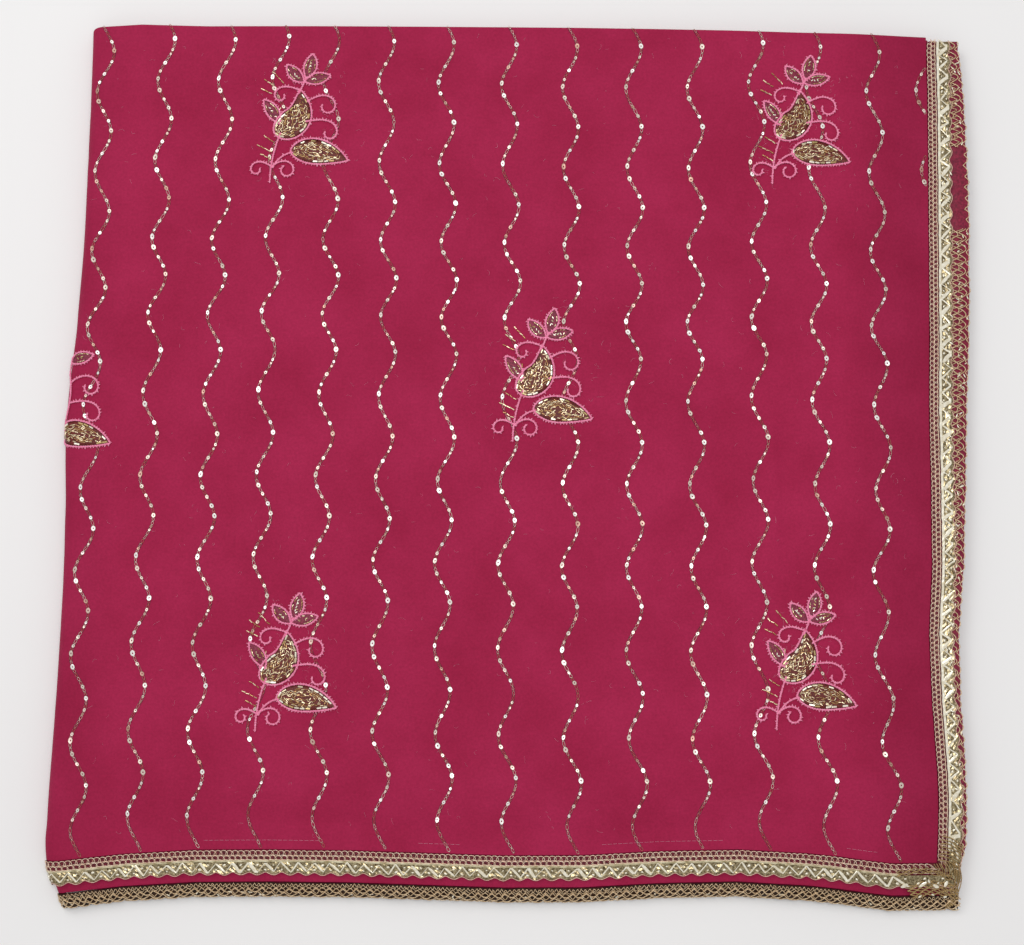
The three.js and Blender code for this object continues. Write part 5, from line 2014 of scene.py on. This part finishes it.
class SAREE_OT_stray_threads(PieceOperator):
    """Fine loose fibres on the cloth, most of them near the stitching"""

    bl_idname = "saree.stray_threads"
    bl_label = "Stray threads"

    def execute(self, context):
        random = np.random.RandomState(8)
        # Lint: hair-thin, matt and paler than the cloth
        pale = thread_material("Loose fibre, pale pink", "#c96c8d", "#e39ab2", 0.001)
        lines = []
        for _ in range(900):
            if random.uniform() < 0.45:
                centre = np.array(list(MOTIFS.values())[random.randint(5)], float)
                spot = centre + random.normal(0, 24, 2)
            else:
                spot = np.array([random.uniform(-280, 262), random.uniform(-238, 296)])
            heading, bend = random.uniform(0, 2 * math.pi), random.normal(0, 0.35, 2)
            length = random.uniform(1.5, 6)
            t = np.linspace(0, 1, 6)
            angle = heading + bend[0] * t * 4 + bend[1] * t * t * 5
            steps = stack(np.cos(angle), np.sin(angle)) * length / 6
            path = spot + np.cumsum(steps, axis=0)
            path[:, 1] = np.clip(path[:, 1], -240, 298)
            lift = 0.12 + 0.25 * np.sin(math.pi * t) * random.uniform(0, 1)
            lines.append((face_at(path[:, 0], path[:, 1], lift), random.uniform(0.04, 0.075)))
        for first, last in SEAM_SHOWS:
            for start in np.arange(first, last, 3.4):
                a = np.linspace(start, start + 2.6, 4)
                lines.append((face_at(a, hem_line(a) + 6.0, 0.12), 0.13))
        made = cords("stray_threads", lines, pale, 3)
        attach(made, "root")
        return {"FINISHED"}


# ------------------------------------------------------------------------------------- stage

CAMERA_AT = (0.0, -116.85, 1130.74)  # in the tables' millimetres
CAMERA_TILT = math.radians(6)


class SAREE_OT_stage(PieceOperator):
    """Paper floor, softbox overhead, soft light from all round, and the camera"""

    bl_idname = "saree.stage"
    bl_label = "Stage"

    def execute(self, context):
        settings = context.scene.saree_stage
        scene = context.scene
        camera = bpy.data.cameras.new("camera")
        camera.lens = settings.lens
        camera.sensor_width = 36.0
        eye = bpy.data.objects.new("camera", camera)
        eye.location = to_frame(CAMERA_AT)
        eye.rotation_euler = (CAMERA_TILT, 0, 0)
        scene.collection.objects.link(eye)
        scene.camera = eye
        scene.view_settings.view_transform = "Standard"

        # Matt paper with a faint tooth, which takes a soft shadow and gives no reflection
        material, tree, shader = new_material("Studio paper")
        place = add(tree, "ShaderNodeTexCoord").outputs["Object"]
        grain = add(tree, "ShaderNodeTexNoise", {"Vector": place, "Scale": 900.0})
        bump = add(
            tree,
            "ShaderNodeBump",
            {"Height": grain.outputs["Fac"], "Strength": 0.1, "Distance": 0.0001},
        )
        put(tree, shader, Base_Color=(*settings.floor, 1.0), Roughness=0.8, Normal=bump.outputs[0])
        shader.inputs["Specular IOR Level"].default_value = 0.2
        reach, below = 4.0, -0.0002
        corners = [
            (x * reach, y * reach, below) for x, y in ((-1, -1), (1, -1), (1, 1), (-1, 1))
        ]
        floor = mesh_piece("floor", corners, [[0, 1, 2, 3]], material)

        world = bpy.data.worlds.new("studio")
        world.use_nodes = True
        background = world.node_tree.nodes["Background"]
        background.inputs["Color"].default_value = (1.0, 0.995, 0.99, 1.0)
        background.inputs["Strength"].default_value = settings.ambient
        scene.world = world
        self.softbox("softbox", (0.09, 0.10, 1.7), 0.6, settings.softbox)
        self.softbox("key", (-0.75, 0.85, 1.5), 0.9, settings.key)
        return {"FINISHED"}

    @staticmethod
    def softbox(name, place, size, power):
        lamp = bpy.data.lights.new(name, "AREA")
        lamp.shape = "SQUARE"
        lamp.size = size
        lamp.energy = power
        holder = bpy.data.objects.new(name, lamp)
        holder.location = place
        holder.rotation_euler = (-Vector(place)).to_track_quat("-Z", "Y").to_euler()
        bpy.context.scene.collection.objects.link(holder)


# ------------------------------------------------------------------------ panel, registration

OPERATORS = [
    SAREE_OT_stage,
    SAREE_OT_face_cloth,
    SAREE_OT_back_cloth,
    SAREE_OT_inner_layers,
    SAREE_OT_lace,
    SAREE_OT_motifs,
    SAREE_OT_sequin_lines,
    SAREE_OT_stray_threads,
]
SETTINGS = {
    "saree_stage": StageSettings,
    "saree_cloth": ClothSettings,
    "saree_sequin": SequinSettings,
    "saree_lace": LaceSettings,
    "saree_motif": MotifSettings,
}


class SAREE_PT_pieces(bpy.types.Panel):
    """Lists the pieces of the saree in the order they are made"""

    bl_idname = "SAREE_PT_pieces"
    bl_label = "Folded saree"
    bl_space_type = "VIEW_3D"
    bl_region_type = "UI"
    bl_category = "Saree"

    def draw(self, context):
        for operator in OPERATORS:
            self.layout.operator(operator.bl_idname)
        for label, kind in SETTINGS.items():
            box = self.layout.box()
            for prop in kind.__annotations__:
                box.prop(getattr(context.scene, label), prop)


CLASSES = [*SETTINGS.values(), *OPERATORS, SAREE_PT_pieces]


def register():
    for kind in CLASSES:
        bpy.utils.register_class(kind)
    for label, kind in SETTINGS.items():
        setattr(bpy.types.Scene, label, PointerProperty(type=kind))


def unregister():
    for label in SETTINGS:
        delattr(bpy.types.Scene, label)
    for kind in reversed(CLASSES):
        bpy.utils.unregister_class(kind)


def main():
    register()
    for operator in OPERATORS:
        group, name = operator.bl_idname.split(".")
        getattr(getattr(bpy.ops, group), name)()


if __name__ == "__main__":
    main()
